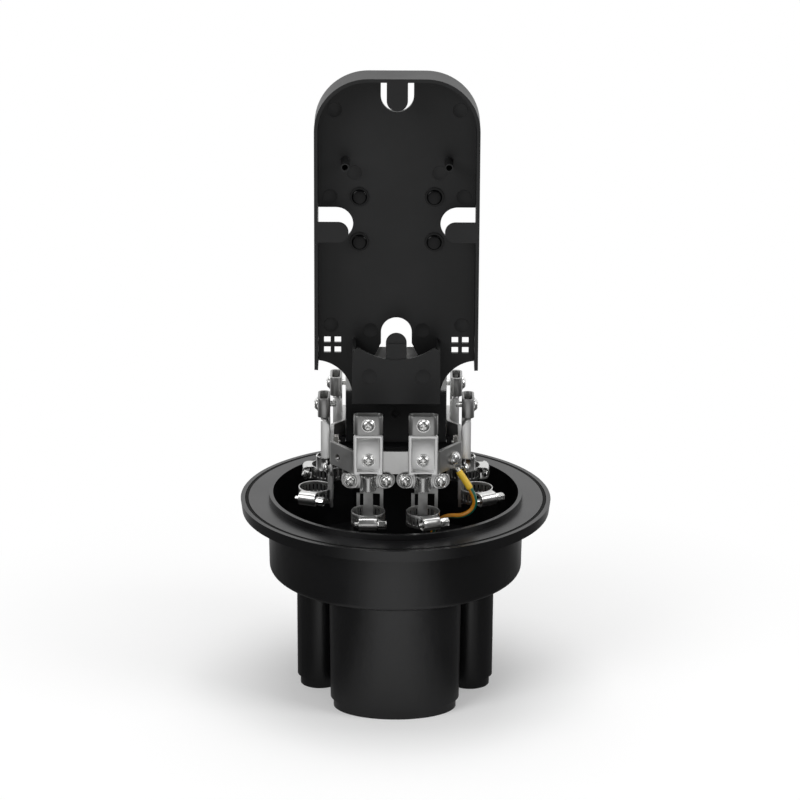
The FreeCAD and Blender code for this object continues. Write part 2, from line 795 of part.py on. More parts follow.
def make_rivets():
    """Push rivets through the carrier's floor: a low cap and a split shank's outline."""
    rivet = new_body("rivet")
    profile = new_sketch(rivet, XY)
    deep = "rivet_rise / 2 + carrier_thick + rivet_past"
    outline(profile, [
        ("0", "0 - rivet_rise"), ("rivet_radius - rivet_rise", "0 - rivet_rise"),
        ("rivet_radius", "0 - rivet_rise / 2"), ("rivet_radius", "0"), ("rivet_shank", "0"),
        ("rivet_shank", deep), ("rivet_shank - rivet_point", f"{deep} + rivet_point"),
        ("0", f"{deep} + rivet_point")])
    revolve(rivet, profile)
    front = "bracket_front - carrier_thick - rivet_rise / 2"
    places = [FreeCAD.Placement(point(f"{side}rivet_across", front, f"rivet_level + {end}rivet_pitch / 2"),
                                FreeCAD.Rotation())
              for side in ("", "0 - ") for end in ("", "0 - ")]
    return keep(placed("push_rivets", rivet, places))


# Cable retention, made once on a station's frame and repeated at all six

SADDLE_TOP = "saddle_level + saddle_end_radius"
HOLDER_BOTTOM = f"{SADDLE_TOP} + saddle_gap"


def make_holder():
    """Shallow tray whose back slopes forward above the hoop, notched below for the saddle."""
    holder = new_body("holder")
    sill = f"{HOLDER_BOTTOM} + holder_wall"
    side = new_sketch(holder, YZ)
    outline(side, [
        ("0", HOLDER_BOTTOM), ("0", "holder_slope_level"), ("0 - holder_slope_reach", "holder_top"),
        ("0 - holder_depth", "holder_top"), ("0 - holder_depth", HOLDER_BOTTOM)])
    pad(holder, side, "2 * holder_half_width", side="Symmetric")
    top = value("holder_top")
    soften(holder, "holder_wall", lambda edge, middle: along(edge, 1) and abs(middle.z - top) < 0.01)
    recess = new_sketch(holder, YZ)
    outline(recess, [
        ("0 - holder_floor", sill),
        ("0 - holder_floor", "holder_slope_level - holder_wall"),
        ("0 - holder_floor - holder_slope_reach + holder_wall", "holder_top - holder_wall"),
        ("0 - holder_depth - 1", "holder_top - holder_wall"),
        ("0 - holder_depth - 1", sill)])
    pocket(holder, recess, "2 * ( holder_half_width - holder_wall )", side="Symmetric")
    notch = new_sketch(holder, XZ, "holder_depth + 1")
    rectangle(notch, "0 - holder_notch", "holder_notch", f"{HOLDER_BOTTOM} - 1", f"{sill} + 1")
    pocket(holder, notch, "holder_depth + 1 - holder_floor - saddle_gap")
    hole = new_sketch(holder, XZ, "holder_depth")
    circle(hole, "0", "holder_screw_level", "screw_radius + screw_clearance")
    pocket(holder, hole, "holder_depth + 1")
    return holder


def make_loop():
    """Top clamp: a rounded loop standing on the holder, open up and down."""
    clamp = new_body("loop")
    outer = new_sketch(clamp, XY, "holder_top")
    rectangle(outer, "0 - loop_half_width", "loop_half_width", "0 - loop_depth", "0")
    pad(clamp, outer, "loop_height")
    soften(clamp, "loop_round", lambda edge, middle: along(edge, 2))
    inner = new_sketch(clamp, XY, "holder_top + loop_height")
    rectangle(inner, "loop_wall - loop_half_width", "loop_half_width - loop_wall", "loop_wall - loop_depth",
              "0 - loop_wall")
    pocket(clamp, inner, "loop_height")
    wall = value("loop_half_width - loop_wall")
    soften(clamp, "loop_round - loop_wall",
           lambda edge, middle: along(edge, 2) and abs(abs(middle.x) - wall) < 0.01)
    hole = new_sketch(clamp, XZ, "loop_depth + 1")
    circle(hole, "0", "clamp_screw_level", "screw_radius + screw_clearance")
    pocket(clamp, hole, "loop_depth + 2")
    return clamp


def make_saddle():
    """Wings with a screw at each end and a deep hollow rib between them."""
    saddle = new_body("saddle")
    tall = f"{SADDLE_TOP} - bulge_bottom"
    wing = new_sketch(saddle, XZ)
    rectangle(wing, "0 - saddle_screw_across", "saddle_screw_across", "saddle_level - saddle_end_radius",
              SADDLE_TOP)
    pad(saddle, wing, "saddle_thick")
    ends = new_sketch(saddle, XZ)
    for x in ("saddle_screw_across", "0 - saddle_screw_across"):
        circle(ends, x, "saddle_level", "saddle_end_radius")
    pad(saddle, ends, "saddle_thick")
    centre = "bulge_half_width - saddle_thick - bulge_depth"
    rib = new_sketch(saddle, XY, "bulge_bottom")
    rectangle(rib, "0 - bulge_half_width", "bulge_half_width", centre, "0")
    pad(saddle, rib, tall)
    nose = new_sketch(saddle, XY, "bulge_bottom")
    circle(nose, "0", centre, "bulge_half_width")
    pad(saddle, nose, tall)
    channel = new_sketch(saddle, XY, SADDLE_TOP)
    rectangle(channel, "bulge_wall - bulge_half_width", "bulge_half_width - bulge_wall", centre, "1")
    pocket(saddle, channel, tall)
    round_channel = new_sketch(saddle, XY, SADDLE_TOP)
    circle(round_channel, "0", centre, "bulge_half_width - bulge_wall")
    pocket(saddle, round_channel, tall)
    back = new_sketch(saddle, XY, SADDLE_TOP)
    rectangle(back, "0 - bulge_half_width", "bulge_half_width", "0", "bulge_half_width")
    pocket(saddle, back, tall)
    holes = new_sketch(saddle, XZ, "saddle_thick + 1")
    for x in ("saddle_screw_across", "0 - saddle_screw_across"):
        circle(holes, x, "saddle_level", "screw_radius + screw_clearance")
    pocket(saddle, holes, "saddle_thick + 1")
    return saddle


def make_anchor():
    """Back plate below the hoop, with round ends and two legs behind the hose clamp."""
    anchor = new_body("anchor")
    back = "0 - plate_thick"
    plate = new_sketch(anchor, XZ, back)
    rectangle(plate, "0 - saddle_screw_across", "saddle_screw_across", "saddle_level - plate_end_radius",
              "saddle_level + plate_end_radius")
    pad(anchor, plate, "plate_thick")
    ends = new_sketch(anchor, XZ, back)
    for x in ("saddle_screw_across", "0 - saddle_screw_across"):
        circle(ends, x, "saddle_level", "plate_end_radius")
    pad(anchor, ends, "plate_thick")
    legs = new_sketch(anchor, XZ, back)
    outer = "leg_inner + leg_width"
    outline(legs, [
        (f"0 - {outer}", "saddle_level"), (f"0 - {outer}", "leg_bottom"), ("0 - leg_inner", "leg_bottom"),
        ("0 - leg_inner", "plate_low"), ("leg_inner", "plate_low"), ("leg_inner", "leg_bottom"),
        (outer, "leg_bottom"), (outer, "saddle_level")])
    pad(anchor, legs, "plate_thick")
    top = new_sketch(anchor, XZ, "1")
    rectangle(top, "0 - 2 * saddle_screw_across", "2 * saddle_screw_across", "hoop_bottom",
              "hoop_bottom + 2 * plate_end_radius")
    pocket(anchor, top, "plate_thick + 2")
    holes = new_sketch(anchor, XZ, "1")
    for x in ("saddle_screw_across", "0 - saddle_screw_across"):
        circle(holes, x, "saddle_level", "screw_radius + screw_clearance")
    pocket(anchor, holes, "plate_thick + 2")
    return anchor


def make_strap():
    strap = new_body("strap")
    flat = new_sketch(strap, XZ)
    rectangle(flat, "0 - strap_half_width", "strap_half_width", "strap_bottom", SADDLE_TOP)
    pad(strap, flat, "strap_thick")
    return strap


BAND_OUTER = "band_inner + band_thick"
BAND_CENTRE = "0 - sqrt( band_inner * band_inner - strap_half_width * strap_half_width ) + band_clearance"
WORM_LEVEL = "band_bottom + band_height / 2"
WORM_FRONT = f"0 - ( {BAND_OUTER} + worm_axis_rise )"


def make_band():
    """Hose clamp on its own axis: the band and the worm's housing in front of it."""
    ring = cylinder("band_ring", BAND_OUTER, "band_height", z="band_bottom")
    block = box("housing_block", "0 - housing_half_length", "housing_half_length",
                f"0 - ({BAND_OUTER} + housing_rise)", f"0 - {BAND_OUTER} / 2", "band_bottom + housing_margin",
                "band_bottom + band_height - housing_margin")
    hole = cylinder("band_hole", "band_inner", "band_height + 2", z="band_bottom - 1")
    bore = cylinder("worm_bore", "worm_radius + worm_clearance", "4 * housing_half_length",
                    "0 - 2 * housing_half_length", WORM_FRONT, WORM_LEVEL)
    bore.Placement = FreeCAD.Placement(bore.Placement.Base, FreeCAD.Rotation(V(0, 1, 0), 90))
    return carved("band", joined("band_solid", [ring, block]), [hole, bore])


def make_worm():
    """Worm screw along X in the housing, hexagon head to the right."""
    worm = new_body("worm")
    profile = new_sketch(worm, XY)
    reach = "housing_half_length + worm_neck"
    outline(profile, [
        (f"0 - ({reach} + worm_tip)", "0"), (f"0 - ({reach} + worm_tip)", "worm_tip_radius"),
        (f"0 - ({reach})", "worm_tip_radius"), (f"0 - ({reach})", "worm_radius"),
        (reach, "worm_radius"), (reach, "0")])
    revolve(worm, profile, "H_Axis")
    head = new_sketch(worm, YZ, reach)
    circle(head, "0", "0", "worm_head_flat / 2")
    pad(worm, head, "worm_head_length")
    slot = new_sketch(worm, YZ, f"{reach} + worm_head_length")
    rectangle(slot, "0 - worm_head_flat", "worm_head_flat", "0 - worm_neck", "worm_neck")
    pocket(worm, slot, "worm_tip_radius")
    return worm


def make_screw(name, length):
    """Pan-head cross screw on -Y, its head's seat at the origin."""
    screw = new_body(name)
    profile = new_sketch(screw, XY)
    outline(profile, [
        ("0", "0 - head_height"), ("head_radius * head_flat", "0 - head_height"),
        ("head_radius * head_knee", "0 - head_height * head_knee_rise"),
        ("head_radius", "0 - head_height * head_side_rise"), ("head_radius", "0"), ("screw_radius", "0"),
        ("screw_radius", length), ("0", length)])
    revolve(screw, profile)
    cross = new_sketch(screw, XZ, "head_height + 1")
    reach = "head_radius * head_flat"
    arm = "cross_width / 2"
    outline(cross, [
        (f"0 - {reach}", f"0 - {arm}"), (f"0 - {arm}", f"0 - {arm}"), (f"0 - {arm}", f"0 - {reach}"),
        (arm, f"0 - {reach}"), (arm, f"0 - {arm}"), (reach, f"0 - {arm}"), (reach, arm), (arm, arm),
        (arm, reach), (f"0 - {arm}", reach), (f"0 - {arm}", arm), (f"0 - {reach}", arm)])
    pocket(screw, cross, "cross_depth + 1")
    return screw


def make_nut(name, flat, height, bore):
    prism = doc.addObject("Part::Prism", name + "_hexagon")
    prism.Polygon = 6
    prism.setExpression("Circumradius", bind(f"{flat} / sqrt( 3 )"))
    prism.setExpression("Height", bind(height))
    return carved(name, prism, [cylinder(name + "_bore", bore, height)])


def make_stations():
    pieces = {
        "holder": make_holder(), "top_clamp": make_loop(), "saddle": make_saddle(),
        "anchor_plate": make_anchor(), "strap": make_strap()}
    band = make_band()
    worm = make_worm()
    doc.recompute()
    for name, (place, turn) in STATIONS.items():
        for kind, piece in pieces.items():
            keep(placed(f"{kind}_{name}", piece, [place]))
        axis = moved(place, y=BAND_CENTRE) * FreeCAD.Placement(V(0, 0, 0), FreeCAD.Rotation(UP, turn))
        keep(placed(f"hose_clamp_{name}", band, [axis]))
        keep(placed(f"worm_screw_{name}", worm, [moved(axis, y=WORM_FRONT, z=WORM_LEVEL)]))


def make_fasteners():
    screw = make_screw("pan_screw", "screw_length")
    clamp_screw = make_screw("long_screw", "loop_depth + clamp_screw_tip")
    saddle_screw = make_screw("short_screw", "saddle_thick + plate_thick + saddle_screw_tip")
    places = [place for place, turn in STATIONS.values()]
    keep(placed("holder_screws", screw,
                [moved(p, y="0 - holder_floor", z="holder_screw_level") for p in places]))
    keep(placed("clamp_screws", clamp_screw,
                [moved(p, y="0 - loop_depth", z="clamp_screw_level") for p in places]))
    keep(placed("saddle_screws", saddle_screw,
                [moved(p, x=x, y="0 - saddle_thick", z="saddle_level")
                 for p in places for x in ("saddle_screw_across", "0 - saddle_screw_across")]))
    keep(placed("carrier_screws", screw,
                [moved(FreeCAD.Placement(), x=x, y="bracket_front - carrier_thick", z="carrier_screw_level")
                 for x in ("carrier_screw_across", "0 - carrier_screw_across")]))
    down = FreeCAD.Placement(V(0, 0, 0), FreeCAD.Rotation(V(1, 0, 0), -90))
    foot_top = "cup_bottom + floor_thick + foot_thick"
    keep(placed("post_screws", screw,
                [FreeCAD.Placement(point(x, y, foot_top), FreeCAD.Rotation()) * down
                 for x, y in foot_screw_spots()]))
    keep(placed("earth_screw", screw, [moved(earth_spot(1), y="0 - lug_thick")]))
    nut = make_nut("nut", "nut_flat", "nut_height", "screw_radius + screw_clearance")
    flat = FreeCAD.Placement(V(0, 0, 0), FreeCAD.Rotation(V(1, 0, 0), -90))
    keep(placed("holder_nuts", nut,
                [moved(p, y="hoop_thick", z="holder_screw_level") * flat for p in places[:4]]))


# Earth: lug on the hoop's right chamfer, sleeve and wire down to a stud in the cup's floor

def cord_path(points):
    """Straight runs joined by tangent arcs; prints each arc's radius."""
    edges = []
    start = points[0]
    for before, corner, after in zip(points, points[1:], points[2:]):
        run_in = corner - before
        run_out = after - corner
        cut = 0.45 * min(run_in.Length, run_out.Length)
        turn = run_in.getAngle(run_out)
        print("wire radius", round(cut / math.tan(turn / 2), 1))
        near = corner - V(run_in).normalize() * cut
        far = corner + V(run_out).normalize() * cut
        towards = (near + far) * 0.5 - corner
        radius = cut / math.tan(turn / 2)
        centre = corner + V(towards).normalize() * math.hypot(cut, radius)
        middle = centre - V(towards).normalize() * radius
        edges.append(Part.LineSegment(start, near).toShape())
        edges.append(Part.Arc(near, middle, far).toShape())
        start = far
    edges.append(Part.LineSegment(start, points[-1]).toShape())
    return Part.Wire(edges)


def disc(radius, height, centre, axis):
    return Part.makeCylinder(radius, height, centre, axis)


def make_earth():
    wire_radius = value("wire_radius")
    screw_place = earth_spot(1)
    tail_end = screw_place * point("0", "0 - lug_stand_off", "0 - lug_drop")
    corner = V(52.6, -40.1, 142.2)
    heading = (corner - tail_end).normalize()
    first = tail_end + heading * value("lug_barrel")
    stud = point("stud_across", "0 - stud_along", "cup_bottom + floor_thick + stud_collar")
    last = stud + V(0, -value("stud_lug_reach"), value("lug_thick + lug_barrel"))
    route = [first, corner, V(51.3, -39.9, 132.6), V(43.4, -39.7, 127.6), V(34, -39.5, 128.2),
             V(26.6, -36.5, 122.5), V(24.4, -31, 113), last + point("0", "0", "wire_rise"), last]
    path = cord_path(route)
    print("wire route", [tuple(round(c, 2) for c in spot) for spot in route])

    section = Part.Wire(Part.Circle(first, heading, wire_radius).toShape())
    wire = doc.addObject("Part::Feature", "earth_wire")
    wire.Shape = path.makePipeShell([section], True, True)
    shape = wire.Shape
    print("wire volume over section times length", shape.Volume / (math.pi * wire_radius ** 2 * path.Length))
    keep(wire)

    covered = value("sleeve_start")
    sleeve = doc.addObject("Part::Feature", "earth_sleeve")
    bore = wire_radius + value("sleeve_clearance")
    length = value("sleeve_length")
    start = tail_end + heading * covered
    sleeve.Shape = disc(bore + value("sleeve_wall"), length, start, heading).cut(
        disc(bore, length, start, heading))
    keep(sleeve)

    lugs = doc.addObject("Part::Feature", "earth_lugs")
    thick = value("lug_thick")
    hole = value("screw_radius + screw_clearance")
    plate = disc(value("lug_radius"), thick, V(0, 0, 0), V(0, -1, 0))
    inward = screw_place.inverse()
    nip = value("lug_nip")
    foot = inward * (tail_end + heading * nip)
    half = value("lug_tail_half")
    low = foot.z + nip
    tail = Part.makeBox(2 * half, thick, -low, V(-half + foot.x / 2, -thick, low))
    local = screw_place.Rotation.inverted() * heading
    barrel_start = foot - local * nip
    barrel = disc(wire_radius, value("lug_barrel"), barrel_start, local)
    knee = Part.makeSphere(wire_radius, barrel_start)
    upper = plate.fuse([tail, knee, barrel]).cut(disc(hole, 3 * thick, V(0, thick, 0), V(0, -1, 0)))
    upper.Placement = screw_place
    lower_plate = disc(value("stud_lug_radius"), thick, stud, UP)
    reach = value("stud_lug_reach")
    lower_tail = Part.makeBox(2 * half, reach + half, thick, stud + V(-half, -reach - half, 0))
    lower_barrel = disc(wire_radius, value("lug_barrel"), stud + V(0, -reach, thick), UP)
    lower = lower_plate.fuse([lower_tail, lower_barrel]).cut(
        disc(value("stud_radius + screw_clearance"), thick, stud, UP))
    lugs.Shape = Part.Compound([upper.removeSplitter(), lower.removeSplitter()])
    keep(lugs)


def make_stud():
    """Feed-through stud: a collar on the floor, a nut on the lug and one below the floor."""
    low = "cup_bottom - stud_below"
    floor = "cup_bottom + floor_thick"
    nut = make_nut("stud_nut_form", "stud_nut_flat", "stud_nut", "stud_radius + screw_clearance")
    collar = make_nut("stud_collar_form", "stud_nut_flat", "stud_collar", "stud_radius / 2")
    put(collar, "stud_across", "0 - stud_along", floor)
    rod = cylinder("stud_rod", "stud_radius", f"stud_top - ({low})", "stud_across", "0 - stud_along", low)
    stud = joined("stud", [rod, collar])
    spot = [FreeCAD.Placement(point("stud_across", "0 - stud_along", z), FreeCAD.Rotation())
            for z in (f"{floor} + stud_collar + lug_thick", "cup_bottom - stud_nut")]
    nuts = placed("stud_nuts", nut, spot)
    both = doc.addObject("Part::Compound", "earth_stud")
    both.Links = [stud, nuts]
    return keep(both)


make_base()
make_seal()
make_post()
make_hoop()
make_bracket()
make_carrier()
make_rivets()
make_stations()
make_fasteners()
make_earth()
make_stud()
doc.recompute()

for thing in doc.Objects:
    if {"Invalid", "Error"} & set(thing.State):
        raise RuntimeError(f"{thing.Label} failed: {thing.State}")
os.makedirs("parts", exist_ok=True)
for node in NODES:
    if node.Shape.isNull() or not node.Shape.isValid():
        raise RuntimeError(f"{node.Label} has no valid shape")
    node.Shape.exportStep(f"parts/{node.Label}.step")
print(len(NODES), "nodes")
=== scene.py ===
import json
import math

import bmesh
import bpy
from mathutils import Matrix, Vector


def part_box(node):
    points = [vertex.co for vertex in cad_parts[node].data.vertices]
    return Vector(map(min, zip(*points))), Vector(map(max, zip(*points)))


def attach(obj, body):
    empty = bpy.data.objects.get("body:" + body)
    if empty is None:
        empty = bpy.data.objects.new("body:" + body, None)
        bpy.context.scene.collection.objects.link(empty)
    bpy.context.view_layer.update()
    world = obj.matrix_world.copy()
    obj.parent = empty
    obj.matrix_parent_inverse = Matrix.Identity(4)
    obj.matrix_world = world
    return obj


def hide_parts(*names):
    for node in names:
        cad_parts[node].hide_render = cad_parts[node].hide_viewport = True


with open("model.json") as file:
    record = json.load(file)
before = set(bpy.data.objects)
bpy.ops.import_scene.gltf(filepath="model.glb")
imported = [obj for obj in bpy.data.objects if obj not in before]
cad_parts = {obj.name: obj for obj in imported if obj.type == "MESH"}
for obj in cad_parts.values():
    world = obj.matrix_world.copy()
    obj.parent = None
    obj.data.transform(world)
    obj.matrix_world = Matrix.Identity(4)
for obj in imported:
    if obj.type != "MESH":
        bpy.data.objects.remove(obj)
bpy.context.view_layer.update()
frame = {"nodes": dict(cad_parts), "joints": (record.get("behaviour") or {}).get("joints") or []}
nodes = frame["nodes"]
scene = bpy.context.scene
scene.view_settings.view_transform = "Standard"
mm = 0.001

# The view: a long lens well in front of the closure and above it, looking down on the flange
# by about 19 degrees, so that the hoop, the cable stations and the inside of the cup show. It
# is rolled a little, as the carrier in the photo leans to the right.

CAMERA_PLACE = (0.0026, -2.3771, 1.0014)
CAMERA_LENS = 171.27
CAMERA_DOWN = 18.75
CAMERA_ROLL = 0.27

camera_data = bpy.data.cameras.new("camera")
camera_data.sensor_width = 36
camera_data.lens = CAMERA_LENS
camera = bpy.data.objects.new("camera", camera_data)
camera.location = CAMERA_PLACE
tipped = Matrix.Rotation(math.radians(90 - CAMERA_DOWN), 3, "X")
rolled = Matrix.Rotation(math.radians(CAMERA_ROLL), 3, "Z")
camera.rotation_euler = (tipped @ rolled).to_euler()
scene.collection.objects.link(camera)
scene.camera = camera

# The stage: a pale floor that the closure stands on. Near the closure it takes the soft
# shadow, and further off it is plain white. What shiny pieces mirror of it at the closure's
# sides is dark, as if black cards lay there, which gives the metal its contrast.


class Flow:
    """One socket's value. Sums and products of it add Math nodes."""

    def __init__(self, graph, socket):
        self.graph = graph
        self.socket = socket

    def maths(self, operation, other=0.0):
        return self.graph.node("ShaderNodeMath", {"operation": operation}, {0: self, 1: other})

    def __add__(self, other):
        return self.maths("ADD", other)

    def __sub__(self, other):
        return self.maths("SUBTRACT", other)

    def __rsub__(self, other):
        return self.graph.node("ShaderNodeMath", {"operation": "SUBTRACT"}, {0: other, 1: self})

    def __mul__(self, other):
        return self.maths("MULTIPLY", other)

    def __lt__(self, other):
        return self.maths("LESS_THAN", other)

    def __abs__(self):
        return self.maths("ABSOLUTE")

    __radd__ = __add__
    __rmul__ = __mul__


class Graph:
    """A node tree in the making. A node's own settings are set first, then its sockets."""

    def __init__(self, tree):
        self.tree = tree

    def node(self, kind, settings=None, sockets=None, output=0):
        made = self.tree.nodes.new(kind)
        for name, setting in (settings or {}).items():
            setattr(made, name, setting)
        for name, given in (sockets or {}).items():
            if isinstance(given, Flow):
                self.tree.links.new(given.socket, made.inputs[name])
            else:
                made.inputs[name].default_value = given
        return Flow(self, made.outputs[output]) if made.outputs else None

    def between(self, factor, low, high, first=0.0, last=1.0):
        """factor from first to last becomes low to high."""
        return self.node("ShaderNodeMapRange", None, {
            "Value": factor, "From Min": first, "From Max": last, "To Min": low, "To Max": high})


class Finish(Graph):
    """A material in the making."""

    def __init__(self, name):
        self.material = bpy.data.materials.new(name)
        self.material.use_nodes = True
        super().__init__(self.material.node_tree)
        self.tree.nodes.clear()

    def place(self):
        return self.node("ShaderNodeTexCoord", output="Object")

    def noise(self, place, scale, detail=2.0):
        sockets = {"Vector": place, "Scale": scale, "Detail": detail}
        return self.node("ShaderNodeTexNoise", None, sockets)

    def mix(self, factor, first, second):
        """A colour from first to second."""
        return self.node("ShaderNodeMix", {"data_type": "RGBA"}, {0: factor, 6: first, 7: second}, 2)

    def bump(self, height, depth):
        return self.node("ShaderNodeBump", None, {"Height": height, "Distance": depth, "Strength": 1.0})

    def surface(self, shader):
        self.node("ShaderNodeOutputMaterial", None, {"Surface": shader})
        return self.material

    def principled(self, **sockets):
        named = {name.replace("_", " "): given for name, given in sockets.items()}
        return self.surface(self.node("ShaderNodeBsdfPrincipled", None, named))


def linked(name, data):
    piece = bpy.data.objects.new(name, data)
    scene.collection.objects.link(piece)
    return piece


WHITE = (1, 1, 1, 1)
FLOOR_HALF = 12.0
FLOOR_COLOUR = (0.8, 0.8, 0.8, 1)
FLOOR_LIFT = 0.2
SHADOW_REACH = (0.13, 0.36)
# The cards lie outside a wedge that opens towards the view from its tip behind the closure.
CARDS_TIP = 0.12
CARDS_LEAN = (0.12, 0.5)
CARDS_END = (0.15, 0.45)
CARDS_GLOW = 0.1
LEAST_AHEAD = 0.02

floor_mesh = bpy.data.meshes.new("floor")
floor_mesh.from_pydata([(x * FLOOR_HALF, y * FLOOR_HALF, 0) for x, y in ((-1, -1), (1, -1), (1, 1), (-1, 1))],
                       [], [(0, 1, 2, 3)])
floor = linked("floor", floor_mesh)
paper = Finish("pale_floor")
seen = paper.node("ShaderNodeLightPath", output="Is Camera Ray")
mirrored = paper.node("ShaderNodeLightPath", output="Is Glossy Ray")
passed = paper.node("ShaderNodeLightPath", output="Is Transmission Ray")
matt = paper.node("ShaderNodeBsdfDiffuse", None, {"Color": FLOOR_COLOUR})
lift = (seen + passed) * FLOOR_LIFT
glow = paper.node("ShaderNodeEmission", None, {"Color": WHITE, "Strength": lift})
near = paper.node("ShaderNodeAddShader", None, {0: matt, 1: glow})
away = paper.node("ShaderNodeVectorMath", {"operation": "LENGTH"}, {0: paper.place()}, "Value")
white = paper.node("ShaderNodeEmission", None, {"Color": WHITE, "Strength": 1.0})
far_share = paper.between(away, 0.0, 1.0, *SHADOW_REACH) * (seen + passed + mirrored)
lit = paper.node("ShaderNodeMixShader", None, {0: far_share, 1: near, 2: white})
floor_x = paper.node("ShaderNodeSeparateXYZ", None, {0: paper.place()}, 0)
floor_y = paper.node("ShaderNodeSeparateXYZ", None, {0: paper.place()}, 1)
ahead = (CARDS_TIP - floor_y).maths("MAXIMUM", LEAST_AHEAD)
lean = abs(floor_x).maths("DIVIDE", ahead)
beside = paper.between(lean, 0.0, 1.0, *CARDS_LEAN) * paper.between(floor_y, 1.0, 0.0, *CARDS_END)
cards = paper.node("ShaderNodeEmission", None, {"Color": WHITE, "Strength": CARDS_GLOW})
shown = paper.node("ShaderNodeMixShader", None, {0: beside * mirrored, 1: lit, 2: cards})
floor_mesh.materials.append(paper.surface(shown))

# Where the camera looks, the room is white, and so is what metal mirrors from behind the
# closure. In front and at the sides it is dim, which gives the metal its darks.

SKY_LIGHT = 0.34
SKY_DIM = 0.1
SKY_TURN = (-0.1, 0.5)

world = bpy.data.worlds.new("studio")
world.use_nodes = True
scene.world = world
world.node_tree.nodes.clear()
room = Graph(world.node_tree)
eye = room.node("ShaderNodeLightPath", output="Is Camera Ray")
gloss = room.node("ShaderNodeLightPath", output="Is Glossy Ray")
clear = room.node("ShaderNodeLightPath", output="Is Transmission Ray")
direction = room.node("ShaderNodeTexCoord", output="Generated")
backward = room.node("ShaderNodeSeparateXYZ", None, {0: direction}, 1)
behind = room.between(backward, SKY_DIM, 1.0, *SKY_TURN)
level = eye + clear + gloss * behind + (1 - eye - clear - gloss) * SKY_LIGHT
sky = room.node("ShaderNodeBackground", None, {"Color": WHITE, "Strength": level})
room.node("ShaderNodeOutputWorld", None, {"Surface": sky})

# Three soft boxes: place, side and power of each.

LAMPS = {
    "left_box": ((-1.25, -1.3, 1.25), 1.0, 17.0),
    "right_box": ((1.5, -0.7, 1.1), 0.8, 11.0),
    "top_box": ((0.0, 0.35, 1.9), 1.2, 15.0),
}
LAMP_AIM = Vector((0, 0, 0.15))
for name, (place, side, power) in LAMPS.items():
    lamp = bpy.data.lights.new(name, "AREA")
    lamp.size = side
    lamp.energy = power
    soft_box = linked(name, lamp)
    soft_box.location = place
    soft_box.rotation_euler = (LAMP_AIM - Vector(place)).to_track_quat("-Z", "Y").to_euler()

# The base: one black moulding of cup, flange and five closed cable ports. It is a filled
# plastic with a fine even grain from the mould, and each edge has a small radius.

GRAIN_SCALE, GRAIN_DEPTH = 2600.0, 0.012 * mm
DRIFT_SCALE = 16.0
TINT_DRIFT = 0.2
SHEEN_DRIFT = 0.05
WELD_GAP = 0.002 * mm
FLAT_ANGLE = math.radians(0.8)
EDGE_ANGLE = math.radians(32)


def moulding(name, colour, roughness, shine=0.25):
    """Black moulded plastic: fine grain, with a sheen that drifts a little over a long way."""
    finish = Finish(name)
    place = finish.place()
    fine = finish.noise(place, GRAIN_SCALE)
    slow = finish.noise(place, DRIFT_SCALE, 3.0)
    darker, lighter = [(*(c * share for c in colour), 1) for share in (1 - TINT_DRIFT, 1 + TINT_DRIFT)]
    tint = finish.mix(finish.between(slow, 0.0, 1.0, 0.35, 0.65), darker, lighter)
    rough = finish.between(slow, roughness - SHEEN_DRIFT, roughness + SHEEN_DRIFT, 0.3, 0.7)
    return finish.principled(Base_Color=tint, Roughness=rough, Normal=finish.bump(fine, GRAIN_DEPTH),
                             Specular_IOR_Level=shine)


def dress(name, material, edge, segments=2):
    """A solid from the frame in its finish, its edges rounded by a modifier."""
    piece = nodes[name]
    piece.data.materials.clear()
    piece.data.materials.append(material)
    piece.data.polygons.foreach_set("use_smooth", [True] * len(piece.data.polygons))
    weld = piece.modifiers.new("weld", "WELD")
    weld.merge_threshold = WELD_GAP
    flat = piece.modifiers.new("flat", "DECIMATE")
    flat.decimate_type = "DISSOLVE"
    flat.angle_limit = FLAT_ANGLE
    bevel = piece.modifiers.new("edge", "BEVEL")
    bevel.width = edge
    bevel.segments = segments
    bevel.limit_method = "ANGLE"
    bevel.angle_limit = EDGE_ANGLE
    bevel.use_clamp_overlap = True
    weight = piece.modifiers.new("weight", "WEIGHTED_NORMAL")
    weight.keep_sharp = True


base_black = moulding("base_black", (0.0035, 0.0035, 0.004), 0.32, 0.48)
dress("base_body", base_black, 0.6 * mm, 3)

# The seal: a ring of black rubber that lies deep in the flange's groove. It is moulded, with
# a dull skin.

rubber = Finish("seal_black")
rubber_grain = rubber.noise(rubber.place(), 900.0)
seal_black = rubber.principled(
    Base_Color=(0.002, 0.002, 0.002, 1), Roughness=rubber.between(rubber_grain, 0.6, 0.75),
    Normal=rubber.bump(rubber_grain, 0.01 * mm), Specular_IOR_Level=0.1)
dress("flange_seal", seal_black, 0.3 * mm)

# The post: a black moulding that stands on the cup's floor inside the hoop, held by four
# screws. It is a little paler and duller than the base.

post_black = moulding("post_black", (0.0045, 0.0045, 0.005), 0.4)
dress("support_post", post_black, 0.4 * mm)

# The hoop: satin aluminium strip, bent round the middle and drilled for what is screwed on.
# Six cable stations sit on it, and each is named with its turn from the front in degrees.

STREAK_SCALE, CLOUD_SCALE = 8.0, 90.0
STATIONS = {"front_left": 0, "front_right": 0, "left": -90, "right": 90, "rear_left": -90,
            "rear_right": 90}


